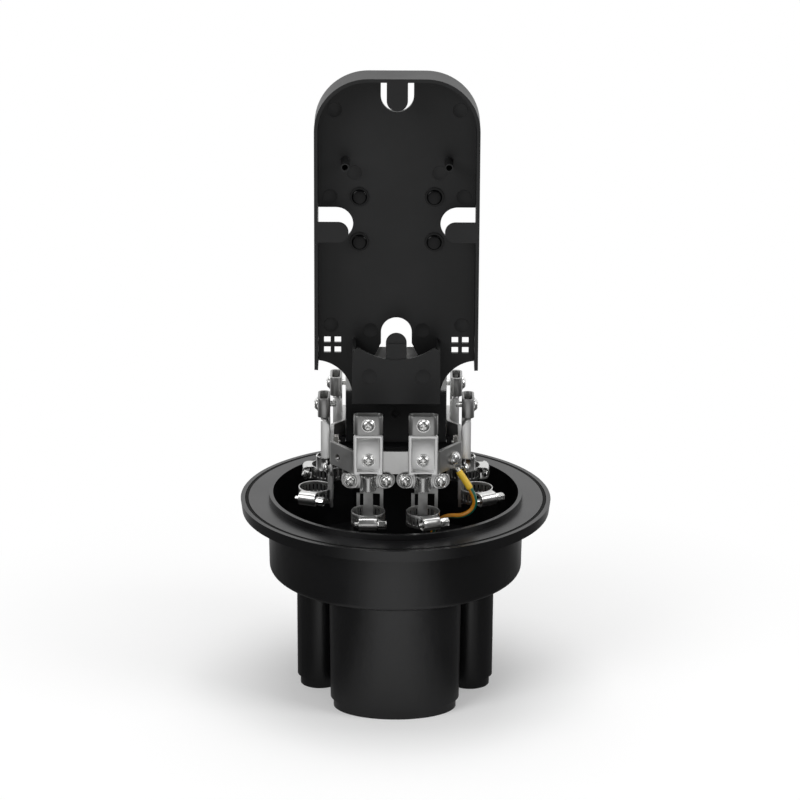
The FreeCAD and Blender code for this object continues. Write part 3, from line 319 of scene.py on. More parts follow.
def metal(name, colour, roughness, drawn=(60.0, 60.0, 600.0), depth=0.004 * mm, spread=0.08,
          cloudy=0.92):
    """Metal with fine streaks: drawn gives how closely they lie along X, Y and Z."""
    finish = Finish(name)
    place = finish.place()
    stretched = finish.node("ShaderNodeMapping", None, {"Vector": place, "Scale": drawn})
    streaks = finish.noise(stretched, STREAK_SCALE, 3.0)
    cloud = finish.noise(place, CLOUD_SCALE, 3.0)
    dull = (*(c * cloudy for c in colour), 1)
    tint = finish.mix(finish.between(cloud, 0.0, 1.0, 0.3, 0.7), dull, (*colour, 1))
    rough = finish.between(cloud, -spread, spread, 0.3, 0.7) + finish.between(streaks, -spread, spread)
    return finish.principled(Base_Color=tint, Metallic=1.0, Roughness=rough + roughness,
                             Normal=finish.bump(streaks, depth))


def station_frame(name):
    """Its origin is on the hoop's outer face at floor level, and -Y points outward."""
    low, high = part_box("holder_" + name)
    middle = ((low[0] + high[0]) / 2, (low[1] + high[1]) / 2)
    turn = STATIONS[name]
    origin = {0: (middle[0], high[1], 0), -90: (high[0], middle[1], 0), 90: (low[0], middle[1], 0)}[turn]
    return Matrix.Translation(origin) @ Matrix.Rotation(math.radians(turn), 4, "Z")


stations = {name: station_frame(name) for name in STATIONS}
hoop_metal = metal("hoop_metal", (0.5, 0.5, 0.495), 0.34, spread=0.05)
dress("hoop_band", hoop_metal, 0.45 * mm)

# The bracket: an upright channel behind the carrier's foot, bent from zinc-plated sheet. The
# plating is pale and dull.

sheet_metal = metal("sheet_metal", (0.92, 0.92, 0.91), 0.5)
dress("upright_bracket", sheet_metal, 0.3 * mm)

# The tray carrier: one tall black moulding with its walls, windows, tabs, pegs and pocket.
# The mould's ejector pins left round marks on its floor and on the pocket.

carrier_black = moulding("carrier_black", (0.016, 0.0162, 0.0165), 0.42)
dress("tray_carrier", carrier_black, 0.3 * mm)


class Pattern(Graph):
    """A Geometry Nodes tree in the making, with named inputs."""

    def __init__(self, name, inputs):
        tree = bpy.data.node_groups.new(name, "GeometryNodeTree")
        for label, kind in {"Geometry": "NodeSocketGeometry", **inputs}.items():
            tree.interface.new_socket(label, in_out="INPUT", socket_type=kind)
        tree.interface.new_socket("Geometry", in_out="OUTPUT", socket_type="NodeSocketGeometry")
        super().__init__(tree)
        entry = tree.nodes.new("NodeGroupInput")
        self.given = {socket.name: Flow(self, socket) for socket in entry.outputs if socket.name}

    def finish(self, geometry):
        """The last two steps of each tree: instances made real, and the material."""
        real = self.node("GeometryNodeRealizeInstances", None, {0: geometry})
        sockets = {"Geometry": real, "Material": self.given["Finish"]}
        self.node("NodeGroupOutput", None, {0: self.node("GeometryNodeSetMaterial", None, sockets)})
        return self.tree


def plain(piece):
    """The mesh of a scratch object with its modifiers. The object is then removed."""
    bpy.context.view_layer.update()
    graph = bpy.context.evaluated_depsgraph_get()
    mesh = bpy.data.meshes.new_from_object(piece.evaluated_get(graph), depsgraph=graph)
    bpy.data.objects.remove(piece)
    return mesh


def grown(name, start, tree, values):
    """The plain mesh that a tree makes from a starting mesh."""
    piece = linked(name, start)
    layer = piece.modifiers.new("pattern", "NODES")
    layer.node_group = tree
    for item in tree.interface.items_tree:
        if item.item_type == "SOCKET" and item.in_out == "INPUT" and item.name in values:
            layer[item.identifier] = values[item.name]
    return plain(piece)


copies = Pattern("copies_on_marks", {"Form": "NodeSocketObject", "Spin": "NodeSocketFloat",
                                     "Seed": "NodeSocketInt", "Finish": "NodeSocketMaterial"})
form = copies.node("GeometryNodeObjectInfo", None, {"Object": copies.given["Form"]}, "Geometry")
turn = copies.node("GeometryNodeInputNamedAttribute", {"data_type": "FLOAT_VECTOR"}, {"Name": "turn"})
stood = copies.node("GeometryNodeInstanceOnPoints", None, {
    "Points": copies.given["Geometry"], "Instance": form, "Rotation": turn})
# Sockets 2, 3 and 8 are the least, the most and the seed of a single number.
spin = copies.node("FunctionNodeRandomValue", {"data_type": "FLOAT"}, {
    2: 0.0, 3: copies.given["Spin"], 8: copies.given["Seed"]}, 1)
about = copies.node("ShaderNodeCombineXYZ", None, {"Y": spin})
spun = copies.node("GeometryNodeRotateInstances", None, {
    "Instances": stood, "Rotation": about, "Local Space": True})
COPIES = copies.finish(spun)


def settled(name, mesh, replaced=(), body="base", material=None):
    """A finished mesh as a piece of a body."""
    if material:
        mesh.materials.clear()
        mesh.materials.append(material)
    piece = linked(name, mesh)
    if replaced:
        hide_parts(*replaced)
    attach(piece, body)
    return piece


def copied(name, form_mesh, places, material, replaced=(), spin=0.0, seed=1):
    """One piece of like forms, one at each place, in the base's body."""
    marks = bpy.data.meshes.new(name + "_marks")
    marks.from_pydata([tuple(place.translation) for place in places], [], [])
    turns = marks.attributes.new("turn", "FLOAT_VECTOR", "POINT")
    for mark, place in zip(turns.data, places):
        mark.vector = tuple(place.to_euler())
    pattern = linked(name + "_form", form_mesh)
    mesh = grown(name, marks, COPIES, {"Form": pattern, "Spin": spin, "Seed": seed, "Finish": material})
    bpy.data.objects.remove(pattern)
    settled(name, mesh, replaced)


def moved(x, y, z):
    """A place given in mm."""
    return Matrix.Translation((x * mm, y * mm, z * mm))


def ringed(work, rings, capped=False):
    """Faces from each ring of corners to the next, and over the two ends where it is capped."""
    for first, second in zip(rings, rings[1:]):
        for step in range(len(first)):
            corners = dict.fromkeys([first[step], first[step - 1], second[step - 1], second[step]])
            work.faces.new(list(corners))
    if capped:
        work.faces.new(rings[0])
        work.faces.new(rings[-1])


def meshed(name, work, outward=True):
    """The work as a mesh, its faces turned outward unless they are right already."""
    if outward:
        bmesh.ops.recalc_face_normals(work, faces=work.faces)
    mesh = bpy.data.meshes.new(name)
    work.to_mesh(mesh)
    work.free()
    return mesh


def smooth(mesh, angle=35):
    """The mesh shaded smooth, apart from edges sharper than the angle."""
    mesh.polygons.foreach_set("use_smooth", [True] * len(mesh.polygons))
    mesh.set_sharp_from_angle(angle=math.radians(angle))
    return mesh


def turned(name, profile, steps=32):
    """A form turned about Y from pairs of radius and Y in mm, from pole to pole."""
    work = bmesh.new()
    rings = []
    for radius, y in profile:
        if radius == 0:
            rings.append([work.verts.new((0, y * mm, 0))] * steps)
            continue
        angles = [math.tau * step / steps for step in range(steps)]
        rings.append([work.verts.new((radius * math.cos(a) * mm, y * mm, radius * math.sin(a) * mm))
                      for a in angles])
    ringed(work, rings)
    return smooth(meshed(name, work))


FLOOR_FACE = 9.0
POCKET_FACE = -18.0
MARK_SPOTS = [(40.6, 389, FLOOR_FACE), (27.6, 347, FLOOR_FACE), (43.5, 331, FLOOR_FACE),
              (43, 243.5, FLOOR_FACE), (17, 240, FLOOR_FACE), (17.5, 217, POCKET_FACE)]
mark_form = turned("mark_form", [
    (0, -0.08), (4.6, -0.08), (4.75, -0.14), (4.9, 0.1), (0, 0.1)], 40)
mark_places = [moved(side * x, y, z) for x, z, y in MARK_SPOTS for side in (1, -1)]
copied("ejector_marks", mark_form, mark_places, carrier_black)

# A disc of the carrier's black sits inside the round hole low in the carrier's column as painted shade, so
# that the hole shows dark.

BORE_LEVEL = 181.8
BORE_RADIUS = 2.75
SHADE_DISC_SPAN = (10.8, 11.9)
bore_form = turned("bore_form", [
    (0, SHADE_DISC_SPAN[0]), (BORE_RADIUS, SHADE_DISC_SPAN[0]), (BORE_RADIUS, SHADE_DISC_SPAN[1]), (0, SHADE_DISC_SPAN[1])], 40)
copied("column_bore_end", bore_form, [moved(0, 0, BORE_LEVEL)], carrier_black)

# The push rivets in the carrier's floor: soft black plastic, with a flat cap whose edge is rounded. A thin
# black skirt round each cap is painted shadow: it stands for the dark ring of shade round the cap.

RIVET_ACROSS = 24.4
RIVET_LEVELS = (331.05, 300.55)
RIVET_FACE = FLOOR_FACE - 0.8
rivet_black = moulding("rivet_black", (0.001, 0.001, 0.0012), 0.24, 0.2)
# From radius 5.0 out to 6.25 mm the profile is the skirt of painted shadow.
rivet_form = turned("rivet_form", [
    (0, -1.6), (3.9, -1.55), (4.4, -1.42), (4.75, -1.18), (4.95, -0.85), (5.0, -0.3), (6.2, -0.26),
    (6.25, 0.0), (2.6, 0.02), (2.6, 5.8), (1.6, 6.8), (0, 6.8)], 48)
rivet_places = [moved(x, RIVET_FACE, z) for x in (RIVET_ACROSS, -RIVET_ACROSS) for z in RIVET_LEVELS]
copied("push_rivets_domed", rivet_form, rivet_places, rivet_black, ["push_rivets"])

# The cable holders: cast aluminium trays screwed to the hoop, with a raised rim all round. The
# back slopes forward above the hoop, and a shallow notch below clears the saddle's rib.

HOLDER_HALF, HOLDER_DEEP, HOLDER_FLOOR = 9.55, 6.0, 2.0
HOLDER_LOW, HOLDER_TOP = 161.3, 189.3
HOLDER_ROUND, HOLDER_FOOT = 1.9, 0.6
RIM_WIDE, RIM_SILL = 2.1, 2.8
SLOPE_LEVEL, SLOPE_REACH, SLOPE_DROP = 184.5, 3.6, 1.5
NOTCH_HALF, NOTCH_RISE, NOTCH_BACK = 5.6, 1.3, 2.2
PAST = 1.0


def without(mesh, cutter):
    """The mesh less the cutter."""
    piece = linked("to_cut", mesh)
    tool = linked("cutter", cutter)
    cut = piece.modifiers.new("cut", "BOOLEAN")
    cut.operation = "DIFFERENCE"
    cut.solver = "EXACT"
    cut.object = tool
    done = plain(piece)
    bpy.data.objects.remove(tool)
    return smooth(done)


def edged(mesh, width, angle):
    """The mesh with its sharp edges rounded by width in mm."""
    piece = linked("to_edge", mesh)
    edge = piece.modifiers.new("edge", "BEVEL")
    edge.width = width * mm
    edge.segments = 2
    edge.limit_method = "ANGLE"
    edge.angle_limit = math.radians(angle)
    return plain(piece)


def prism(outline, start, end, across):
    """An outline of pairs in mm, drawn out from start to end along X or Y."""
    work = bmesh.new()
    rings = []
    for depth in (start, end):
        spots = [(depth, a, b) if across == "X" else (a, depth, b) for a, b in outline]
        rings.append([work.verts.new([c * mm for c in spot]) for spot in spots])
    ringed(work, rings, capped=True)
    return meshed("prism", work)


def quarter(corner, steps):
    """The angles of one quarter turn, the first corner's from 0."""
    return [math.pi / 2 * (corner + step / steps) for step in range(steps + 1)]


def holder_form():
    shape = []
    for corner, side in enumerate((1, -1)):
        middle = side * (HOLDER_HALF - HOLDER_ROUND)
        shape += [(middle + HOLDER_ROUND * math.cos(a), HOLDER_TOP + HOLDER_ROUND * (math.sin(a) - 1))
                  for a in quarter(corner, 6)]
    shape += [(-HOLDER_HALF, HOLDER_LOW + HOLDER_FOOT), (HOLDER_FOOT - HOLDER_HALF, HOLDER_LOW),
              (HOLDER_HALF - HOLDER_FOOT, HOLDER_LOW), (HOLDER_HALF, HOLDER_LOW + HOLDER_FOOT)]
    fall = (HOLDER_TOP - SLOPE_LEVEL) / SLOPE_REACH
    wedge = [(PAST, SLOPE_LEVEL - fall * PAST), (-SLOPE_REACH, HOLDER_TOP),
             (-SLOPE_REACH, HOLDER_TOP + PAST), (PAST, HOLDER_TOP + PAST)]
    inner_low = HOLDER_LOW + RIM_SILL
    inner_top = HOLDER_TOP - RIM_WIDE
    bend = SLOPE_LEVEL - SLOPE_DROP
    front = -HOLDER_DEEP - PAST
    recess = [(-HOLDER_FLOOR, inner_low), (-HOLDER_FLOOR, bend),
              (-HOLDER_FLOOR - (inner_top - bend) / fall, inner_top), (front, inner_top), (front, inner_low)]
    notch_low = HOLDER_LOW - PAST
    notch_top = HOLDER_LOW + NOTCH_RISE
    notch = [(-NOTCH_HALF, notch_low), (-NOTCH_HALF, notch_top), (NOTCH_HALF, notch_top),
             (NOTCH_HALF, notch_low)]
    side = HOLDER_HALF + PAST
    inner_side = HOLDER_HALF - RIM_WIDE
    mesh = without(prism(shape, 0, -HOLDER_DEEP, "Y"), prism(wedge, -side, side, "X"))
    mesh = without(mesh, prism(recess, -inner_side, inner_side, "X"))
    mesh = without(mesh, prism(notch, -NOTCH_BACK, front, "Y"))
    return smooth(edged(mesh, 0.4, 40), 40)


def at_stations(name, form_mesh, frames, replaced, material):
    """One piece of this form in each station's frame, in the place of that station's solids."""
    for station, place in frames.items():
        mesh = form_mesh.copy()
        mesh.transform(place)
        settled(name + "_" + station, mesh, [replaced + "_" + station], material=material)


holder_metal = metal("holder_metal", (0.86, 0.86, 0.855), 0.42, drawn=(200.0, 200.0, 200.0), spread=0.04)
at_stations("cast_holder", holder_form(), stations, "holder", holder_metal)

# The stations' sheet pieces: a back plate pressed from steel sheet, and a strap that is a
# straight strip of it, streaked along its length.

plate_metal = metal("plate_metal", (0.5, 0.5, 0.495), 0.5, drawn=(120.0, 120.0, 120.0), spread=0.12)
strap_metal = metal("strap_metal", (0.62, 0.62, 0.615), 0.6, drawn=(500.0, 500.0, 30.0), depth=0.02 * mm,
                    spread=0.14, cloudy=0.6)
for name in STATIONS:
    dress("anchor_plate_" + name, plate_metal, 0.4 * mm)
    dress("strap_" + name, strap_metal, 0.2 * mm)

# The top clamps: loops bent from flat steel with round corners, open at the top and below. A
# tongue at the back goes down behind the holder's sloping end.

LOOP_HALF, LOOP_DEEP = 9.5, 8.0
LOOP_LOW, LOOP_TOP = 189.9, 202.8
LOOP_ROUND = 3.4
LOOP_SHEET = 1.5
LEAST_ROUND = 0.6
TONGUE_HALF, TONGUE_LOW, TONGUE_DEEP = 6.0, 187.0, 1.2
TONGUE_HOLD = 1.0


def block(work, middle, size):
    """A box in the work, from its middle and size in mm."""
    spread = Matrix.Diagonal((*(length * mm for length in size), 1))
    bmesh.ops.create_cube(work, size=1.0, matrix=moved(*middle) @ spread)


def loop_outline(inset):
    """Plan of the loop's outer face, or of a face that lies further in by inset."""
    radius = max(LOOP_ROUND - inset, LEAST_ROUND)
    reach = LOOP_HALF - inset - radius
    back = -inset - radius
    front = inset + radius - LOOP_DEEP
    middles = [(reach, back), (-reach, back), (-reach, front), (reach, front)]
    return [(x + radius * math.cos(a), y + radius * math.sin(a))
            for corner, (x, y) in enumerate(middles) for a in quarter(corner, 8)]


def loop_form():
    work = bmesh.new()
    outer_low, outer_top, inner_low, inner_top = [
        [work.verts.new((x * mm, y * mm, z * mm)) for x, y in loop_outline(inset)]
        for inset in (0.0, LOOP_SHEET) for z in (LOOP_LOW, LOOP_TOP)]
    ringed(work, [outer_low, outer_top, inner_top, inner_low, outer_low])
    tongue_top = LOOP_LOW + TONGUE_HOLD
    block(work, (0, -TONGUE_DEEP / 2, (TONGUE_LOW + tongue_top) / 2),
          (2 * TONGUE_HALF, TONGUE_DEEP, tongue_top - TONGUE_LOW))
    return smooth(edged(meshed("loop_form", work), 0.25, 50), 40)


loop_metal = metal("loop_metal", (0.36, 0.36, 0.355), 0.4, drawn=(300.0, 300.0, 20.0), depth=0.001 * mm,
                   spread=0.06)
at_stations("bent_clamp", loop_form(), stations, "top_clamp", loop_metal)

# The saddles: each is pressed from thick sheet. Its dished ends take the screws, and its
# hollow rib is waisted, with small teeth round its upper and lower rims.

SADDLE_LEVEL = 156.5
SADDLE_END = 4.7
SADDLE_ACROSS = 11.65
SADDLE_FACE = 2.0
SADDLE_SHEET = 1.0
DISH_RADIUS, DISH_SLOPE, DISH_DEEP = 3.7, 0.7, 0.55
RIB_LOW, RIB_TOP = 151.0, 161.2
RIB_HALF, RIB_FLARE = 3.9, 1.2
RIB_DEEP, RIB_LEAN = 7.1, 0.25
RIB_FILLET = 1.5
TEETH = 7
TOOTH = 0.75
FILLET_STEPS = 5
NOSE_STEPS = 28
WING_STEPS = 16
WING_CROWDING = 1.6
ROWS = 17


def rib_outline(waist):
    """Plan of the rib's front face, left to right: waist is 0 at mid height and 1 at the rims."""
    half = RIB_HALF + RIB_FLARE * waist
    centre = SADDLE_FACE + RIB_DEEP + RIB_LEAN * waist - half
    straight = (SADDLE_FACE + RIB_FILLET + centre) / 2
    foot = half + RIB_FILLET
    rise = SADDLE_FACE + RIB_FILLET
    bends = [math.pi / 2 * step / FILLET_STEPS for step in range(FILLET_STEPS + 1)]
    line = [(-foot + RIB_FILLET * math.sin(a), rise - RIB_FILLET * math.cos(a)) for a in bends]
    line.append((-half, straight))
    nose = [math.pi * step / NOSE_STEPS for step in range(NOSE_STEPS + 1)]
    line += [(-half * math.cos(a), centre + half * math.sin(a)) for a in nose]
    line.append((half, straight))
    line += [(foot - RIB_FILLET * math.cos(a), rise - RIB_FILLET * math.sin(a)) for a in bends]
    return line


def ramp(value, start, length):
    """0 up to start, then rising to 1 over length."""
    return min(max((value - start) / length, 0), 1)


def wing_spot(reach, share, root):
    """A spot of the flat end: reach is 0 at its tip and 1 at the rib, share goes up the height."""
    tip = SADDLE_ACROSS + SADDLE_END
    x = tip - (tip - root) * reach ** WING_CROWDING
    half = SADDLE_END
    if x > SADDLE_ACROSS:
        half = math.sqrt(max(SADDLE_END ** 2 - (x - SADDLE_ACROSS) ** 2, 0))
    z = SADDLE_LEVEL - half + 2 * half * share
    away_from_screw = math.hypot(x - SADDLE_ACROSS, z - SADDLE_LEVEL)
    return x, SADDLE_FACE + DISH_DEEP * ramp(away_from_screw, DISH_RADIUS, DISH_SLOPE), z


def rib_spot(step, share, outline):
    """A spot of the rib, at a step of its outline. The rims have teeth round the nose."""
    x, deep = outline[step]
    along_nose = (step - FILLET_STEPS - 1) / (NOSE_STEPS + 2)
    bite = 0
    if 0 < along_nose < 1:
        bite = TOOTH * (0.5 - 0.5 * math.cos(math.tau * TEETH * along_nose))
    blend = ramp(deep, SADDLE_FACE, RIB_FILLET)
    low = (SADDLE_LEVEL - SADDLE_END) * (1 - blend) + RIB_LOW * blend + bite
    return x, deep, low + (RIB_TOP - bite - low) * share


def saddle_form():
    work = bmesh.new()
    shares = [row / (ROWS - 1) for row in range(ROWS)]
    outlines = [rib_outline((2 * share - 1) ** 2) for share in shares]
    left = []
    for step in range(WING_STEPS):
        left.append([wing_spot(step / WING_STEPS, share, abs(outline[0][0]))
                     for share, outline in zip(shares, outlines)])
    right = [list(column) for column in reversed(left)]
    left = [[(-x, deep, z) for x, deep, z in column] for column in left]
    rib = [[rib_spot(step, share, outline) for share, outline in zip(shares, outlines)]
           for step in range(len(outlines[0]))]
    columns = [[work.verts.new((x * mm, -deep * mm, z * mm)) for x, deep, z in column]
               for column in left + rib + right]
    for first, second in zip(columns, columns[1:]):
        for row in range(ROWS - 1):
            work.faces.new([first[row], second[row], second[row + 1], first[row + 1]])
    bmesh.ops.remove_doubles(work, verts=work.verts, dist=0.02 * mm)
    piece = linked("saddle_form", meshed("saddle_form", work, outward=False))
    wall = piece.modifiers.new("sheet", "SOLIDIFY")
    wall.thickness = SADDLE_SHEET * mm
    wall.offset = -1
    return smooth(edged(plain(piece), 0.16, 50), 40)


saddle_metal = metal("saddle_metal", (0.5, 0.5, 0.495), 0.26, drawn=(200.0, 200.0, 200.0), spread=0.07)
at_stations("pressed_saddle", saddle_form(), stations, "saddle", saddle_metal)

# The screws: zinc-plated, with domed pan heads and a tapered cross recess. All lie with
# their heads outward, and each was left at its own angle when it was driven.

THREAD_ROOT, THREAD_CREST = 1.75, 2.15
THREAD_PITCH = 0.7
LONG_SCREW, MID_SCREW, SHORT_SCREW = 12.0, 8.6, 4.3
SHORT_HEAD = 0.86
CLAMP_LEVEL, HOLDER_LEVEL = 196.7, 170.5
CARRIER_ACROSS, CARRIER_LEVEL = 18, 213
POST_HEAD, POST_HEAD_HALF = 2.6, 4.65
HOOP_BEVEL_START = Vector((28, -50, 167))
HOOP_BEVEL_RUN = Vector((15.2, 20, 0))
EARTH_SHARE = 0.66
LUG_SHEET = 1.0


def cross_cutter(rings):
    """A tapered cross along Y: each ring gives its Y, the reach of an arm and its half width."""
    work = bmesh.new()
    loops = []
    for y, reach, half in rings:
        corners = [(reach, half), (half, half), (half, reach), (-half, reach), (-half, half),
                   (-reach, half), (-reach, -half), (-half, -half), (-half, -reach), (half, -reach),
                   (half, -half), (reach, -half)]
        loops.append([work.verts.new((x * mm, y * mm, z * mm)) for x, z in corners])
    ringed(work, loops, capped=True)
    return meshed("cross_cutter", work)


def screw_form(length, head=1.0):
    """Head seated at Y 0 and pointing to -Y, its shank along +Y with rolled threads."""
    profile = [(0, -2.6), (1.0, -2.57), (2.0, -2.42), (2.8, -2.12), (3.4, -1.66), (3.8, -1.1),
               (3.95, -0.75), (4.0, -0.62), (4.45, -0.55), (4.6, -0.4), (4.6, -0.05), (4.5, 0)]
    profile = [(radius * head, y) for radius, y in profile] + [(2.0, 0), (2.0, 0.4)]
    y = 0.5
    while y < length - 1:
        profile += [(THREAD_ROOT, y), (THREAD_CREST, y + 0.3), (THREAD_ROOT, y + 0.6)]
        y += THREAD_PITCH
    profile += [(1.6, length - 0.3), (1.2, length), (0, length)]
    mesh = turned("screw_form", profile, 36)
    return without(mesh, cross_cutter([(-3.2, 2.75, 0.62), (-2.4, 2.5, 0.55), (-0.4, 1.0, 0.35)]))


screw_metal = metal("screw_metal", (0.88, 0.88, 0.87), 0.27, drawn=(150.0, 150.0, 150.0),
                    depth=0.002 * mm, spread=0.05)


def driven(replaced, form_mesh, places, seed, spin=math.tau):
    """One piece of like screws in the place of a node, each turned by up to spin."""
    copied(replaced + "_domed", form_mesh, places, screw_metal, [replaced], spin, seed)


clamp_places = [place @ moved(0, -LOOP_DEEP, CLAMP_LEVEL) for place in stations.values()]
driven("clamp_screws", screw_form(LONG_SCREW), clamp_places, 3)
holder_places = [place @ moved(0, -HOLDER_FLOOR, HOLDER_LEVEL) for place in stations.values()]
driven("holder_screws", screw_form(MID_SCREW), holder_places, 5)
carrier_places = [moved(x, FLOOR_FACE, CARRIER_LEVEL) for x in (CARRIER_ACROSS, -CARRIER_ACROSS)]
driven("carrier_screws", screw_form(MID_SCREW), carrier_places, 2)
screws_low, screws_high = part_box("post_screws")
upright = Matrix.Rotation(math.radians(-90), 4, "X")
post_places = [Matrix.Translation((x, y, screws_high[2] - POST_HEAD * mm)) @ upright
               for x in (screws_low[0] + POST_HEAD_HALF * mm, screws_high[0] - POST_HEAD_HALF * mm)
               for y in (screws_low[1] + POST_HEAD_HALF * mm, screws_high[1] - POST_HEAD_HALF * mm)]
driven("post_screws", screw_form(MID_SCREW), post_places, 4)
saddle_places = [place @ moved(x, -SADDLE_FACE, SADDLE_LEVEL) for place in stations.values()
                 for x in (SADDLE_ACROSS, -SADDLE_ACROSS)]
driven("saddle_screws", screw_form(SHORT_SCREW, SHORT_HEAD), saddle_places, 8)
bevel_turn = math.atan2(HOOP_BEVEL_RUN.y, HOOP_BEVEL_RUN.x)
outward = Vector((math.sin(bevel_turn), -math.cos(bevel_turn), 0))
earth_spot = (HOOP_BEVEL_START + HOOP_BEVEL_RUN * EARTH_SHARE + outward * LUG_SHEET) * mm
earth_place = Matrix.Translation(earth_spot) @ Matrix.Rotation(bevel_turn, 4, "Z")
driven("earth_screw", screw_form(MID_SCREW), [earth_place], 6, 0.6)

# The hose clamps: a slotted stainless band round the strap and the plate's legs, closed by a
# worm in a pressed housing. The slots run all round, and the worm's thread bites in them.

BAND_INNER, BAND_SHEET, BAND_HIGH = 10.4, 0.6, 9.0
BAND_SLOTS = 26
COLUMNS_PER_SLOT = 6
BAND_ROWS = 9
SLOT_HALF_SHARE, SLOT_HIGH_SHARE = 0.17, 0.3
MERGE_GAP = 0.01 * mm
HOUSING_HALF, HOUSING_OUT, HOUSING_HIGH = 5.8, 16.7, 4.4
HOUSING_ROOT, HOUSING_INNER_ROOT = 11.8, 11.7
HOUSING_SHEET, HOUSING_SIDE = 0.45, 0.75
HOUSING_FOOT = 0.4
HOUSING_FLARE, FLARE_WITHIN = 0.35, 4.0
HOUSING_COLUMNS = 12
ARCH_STEPS = 16
ARCH_SQUARENESS = 0.65
WORM_OUT = 13.95

band = Pattern("slotted_band", {"Radius": "NodeSocketFloat", "Sheet": "NodeSocketFloat",
                                "High": "NodeSocketFloat", "Slots": "NodeSocketInt",
                                "Finish": "NodeSocketMaterial"})
grid = band.node("GeometryNodeMeshGrid", None, {
    "Size X": 1.0, "Size Y": 1.0, "Vertices X": band.given["Slots"] * COLUMNS_PER_SLOT + 1,
    "Vertices Y": BAND_ROWS})
spot = band.node("GeometryNodeInputPosition")
around = band.node("ShaderNodeSeparateXYZ", None, {0: spot}, 0)
up = band.node("ShaderNodeSeparateXYZ", None, {0: spot}, 1)
phase = ((around + 0.5) * band.given["Slots"]).maths("FRACT")
in_slot = (abs(phase - 0.5) < SLOT_HALF_SHARE) * (abs(up) < SLOT_HIGH_SHARE)
pierced = band.node("GeometryNodeDeleteGeometry", {"domain": "FACE"}, {
    "Geometry": grid, "Selection": in_slot})
angle = around * math.tau
wrapped = band.node("ShaderNodeCombineXYZ", None, {
    "X": angle.maths("COSINE") * band.given["Radius"], "Y": angle.maths("SINE") * band.given["Radius"],
    "Z": up * band.given["High"]})
bent = band.node("GeometryNodeSetPosition", None, {"Geometry": pierced, "Position": wrapped})
closed = band.node("GeometryNodeMergeByDistance", None, {"Geometry": bent, "Distance": MERGE_GAP})
raised = band.node("GeometryNodeExtrudeMesh", {"mode": "FACES"}, {
    "Mesh": closed, "Offset Scale": band.given["Sheet"], "Individual": False})
inner = band.node("GeometryNodeFlipFaces", None, {0: closed})
shell = band.node("GeometryNodeJoinGeometry", None, {0: raised})
band.tree.links.new(inner.socket, shell.socket.node.inputs[0])
BAND = band.finish(band.node("GeometryNodeMergeByDistance", None, {"Geometry": shell, "Distance": MERGE_GAP}))


def arch(root, out, high):
    """Half of a squared arch, from its lower foot to its upper one."""
    angles = [math.pi * (step / ARCH_STEPS - 0.5) for step in range(ARCH_STEPS + 1)]
    return [(root + (out - root) * math.cos(a) ** ARCH_SQUARENESS, high * math.sin(a)) for a in angles]


def housing_form():
    """A pressed cap over the worm, open at both ends, its feet on the band."""
    work = bmesh.new()
    loops = []
    inner_high = HOUSING_HIGH - HOUSING_SIDE
    for column in range(HOUSING_COLUMNS + 1):
        x = HOUSING_HALF * (2 * column / HOUSING_COLUMNS - 1)
        foot = math.sqrt((BAND_INNER + HOUSING_FOOT) ** 2 - x ** 2)
        flare = HOUSING_FLARE * abs(x / HOUSING_HALF) ** 6
        outline = [(foot, -HOUSING_HIGH)]
        outline += arch(HOUSING_ROOT, HOUSING_OUT, HOUSING_HIGH)
        outline += [(foot, HOUSING_HIGH), (foot, inner_high)]
        outline += reversed(arch(HOUSING_INNER_ROOT, HOUSING_OUT - HOUSING_SHEET, inner_high))
        outline.append((foot, -inner_high))
        loops.append([work.verts.new((x * mm, -(out + flare * (abs(z) < FLARE_WITHIN)) * mm, z * mm))
                      for out, z in outline])
    ringed(work, loops)
    size = len(loops[0])
    for loop in (loops[0], loops[-1]):
        for step in range(size // 2 - 1):
            work.faces.new([loop[step], loop[step + 1], loop[size - 2 - step], loop[size - 1 - step]])
    return edged(meshed("housing_form", work), 0.15, 50)


def joined(name, *meshes):
    work = bmesh.new()
    for mesh in meshes:
        work.from_mesh(mesh)
    return meshed(name, work, outward=False)


band_metal = metal("band_metal", (0.66, 0.66, 0.65), 0.3, drawn=(40.0, 40.0, 300.0), depth=0.0,
                   spread=0.03)
band_mesh = grown("band_form", bpy.data.meshes.new("band_start"), BAND, {
    "Radius": BAND_INNER * mm, "Sheet": BAND_SHEET * mm, "High": BAND_HIGH * mm, "Slots": BAND_SLOTS,
    "Finish": band_metal})
clamp_mesh = smooth(joined("clamp_form", edged(band_mesh, 0.14, 50), housing_form()), 40)

worm_frames = {}
ring_frames = {}
for joint in frame["joints"]:
    name = joint["name"].replace("worm_turn_", "")
    axis = Vector(joint["axis"])
    turning = Matrix.Rotation(math.atan2(axis.y, axis.x), 4, "Z")
    worm_frames[name] = Matrix.Translation(joint["pos_m"]) @ turning
    ring_frames[name] = worm_frames[name] @ moved(0, WORM_OUT, 0)
at_stations("slotted_clamp", clamp_mesh, {name: ring_frames[name] for name in STATIONS},
            "hose_clamp", band_metal)

# The worms: bright plated screws with a slotted hexagon head that turns in the housing.

WORM_REACH = 6.4
WORM_TURN = 0.5
HEAD_LONG = 5.8
HEAD_SLOT = (8.0, 3.0, 1.1)


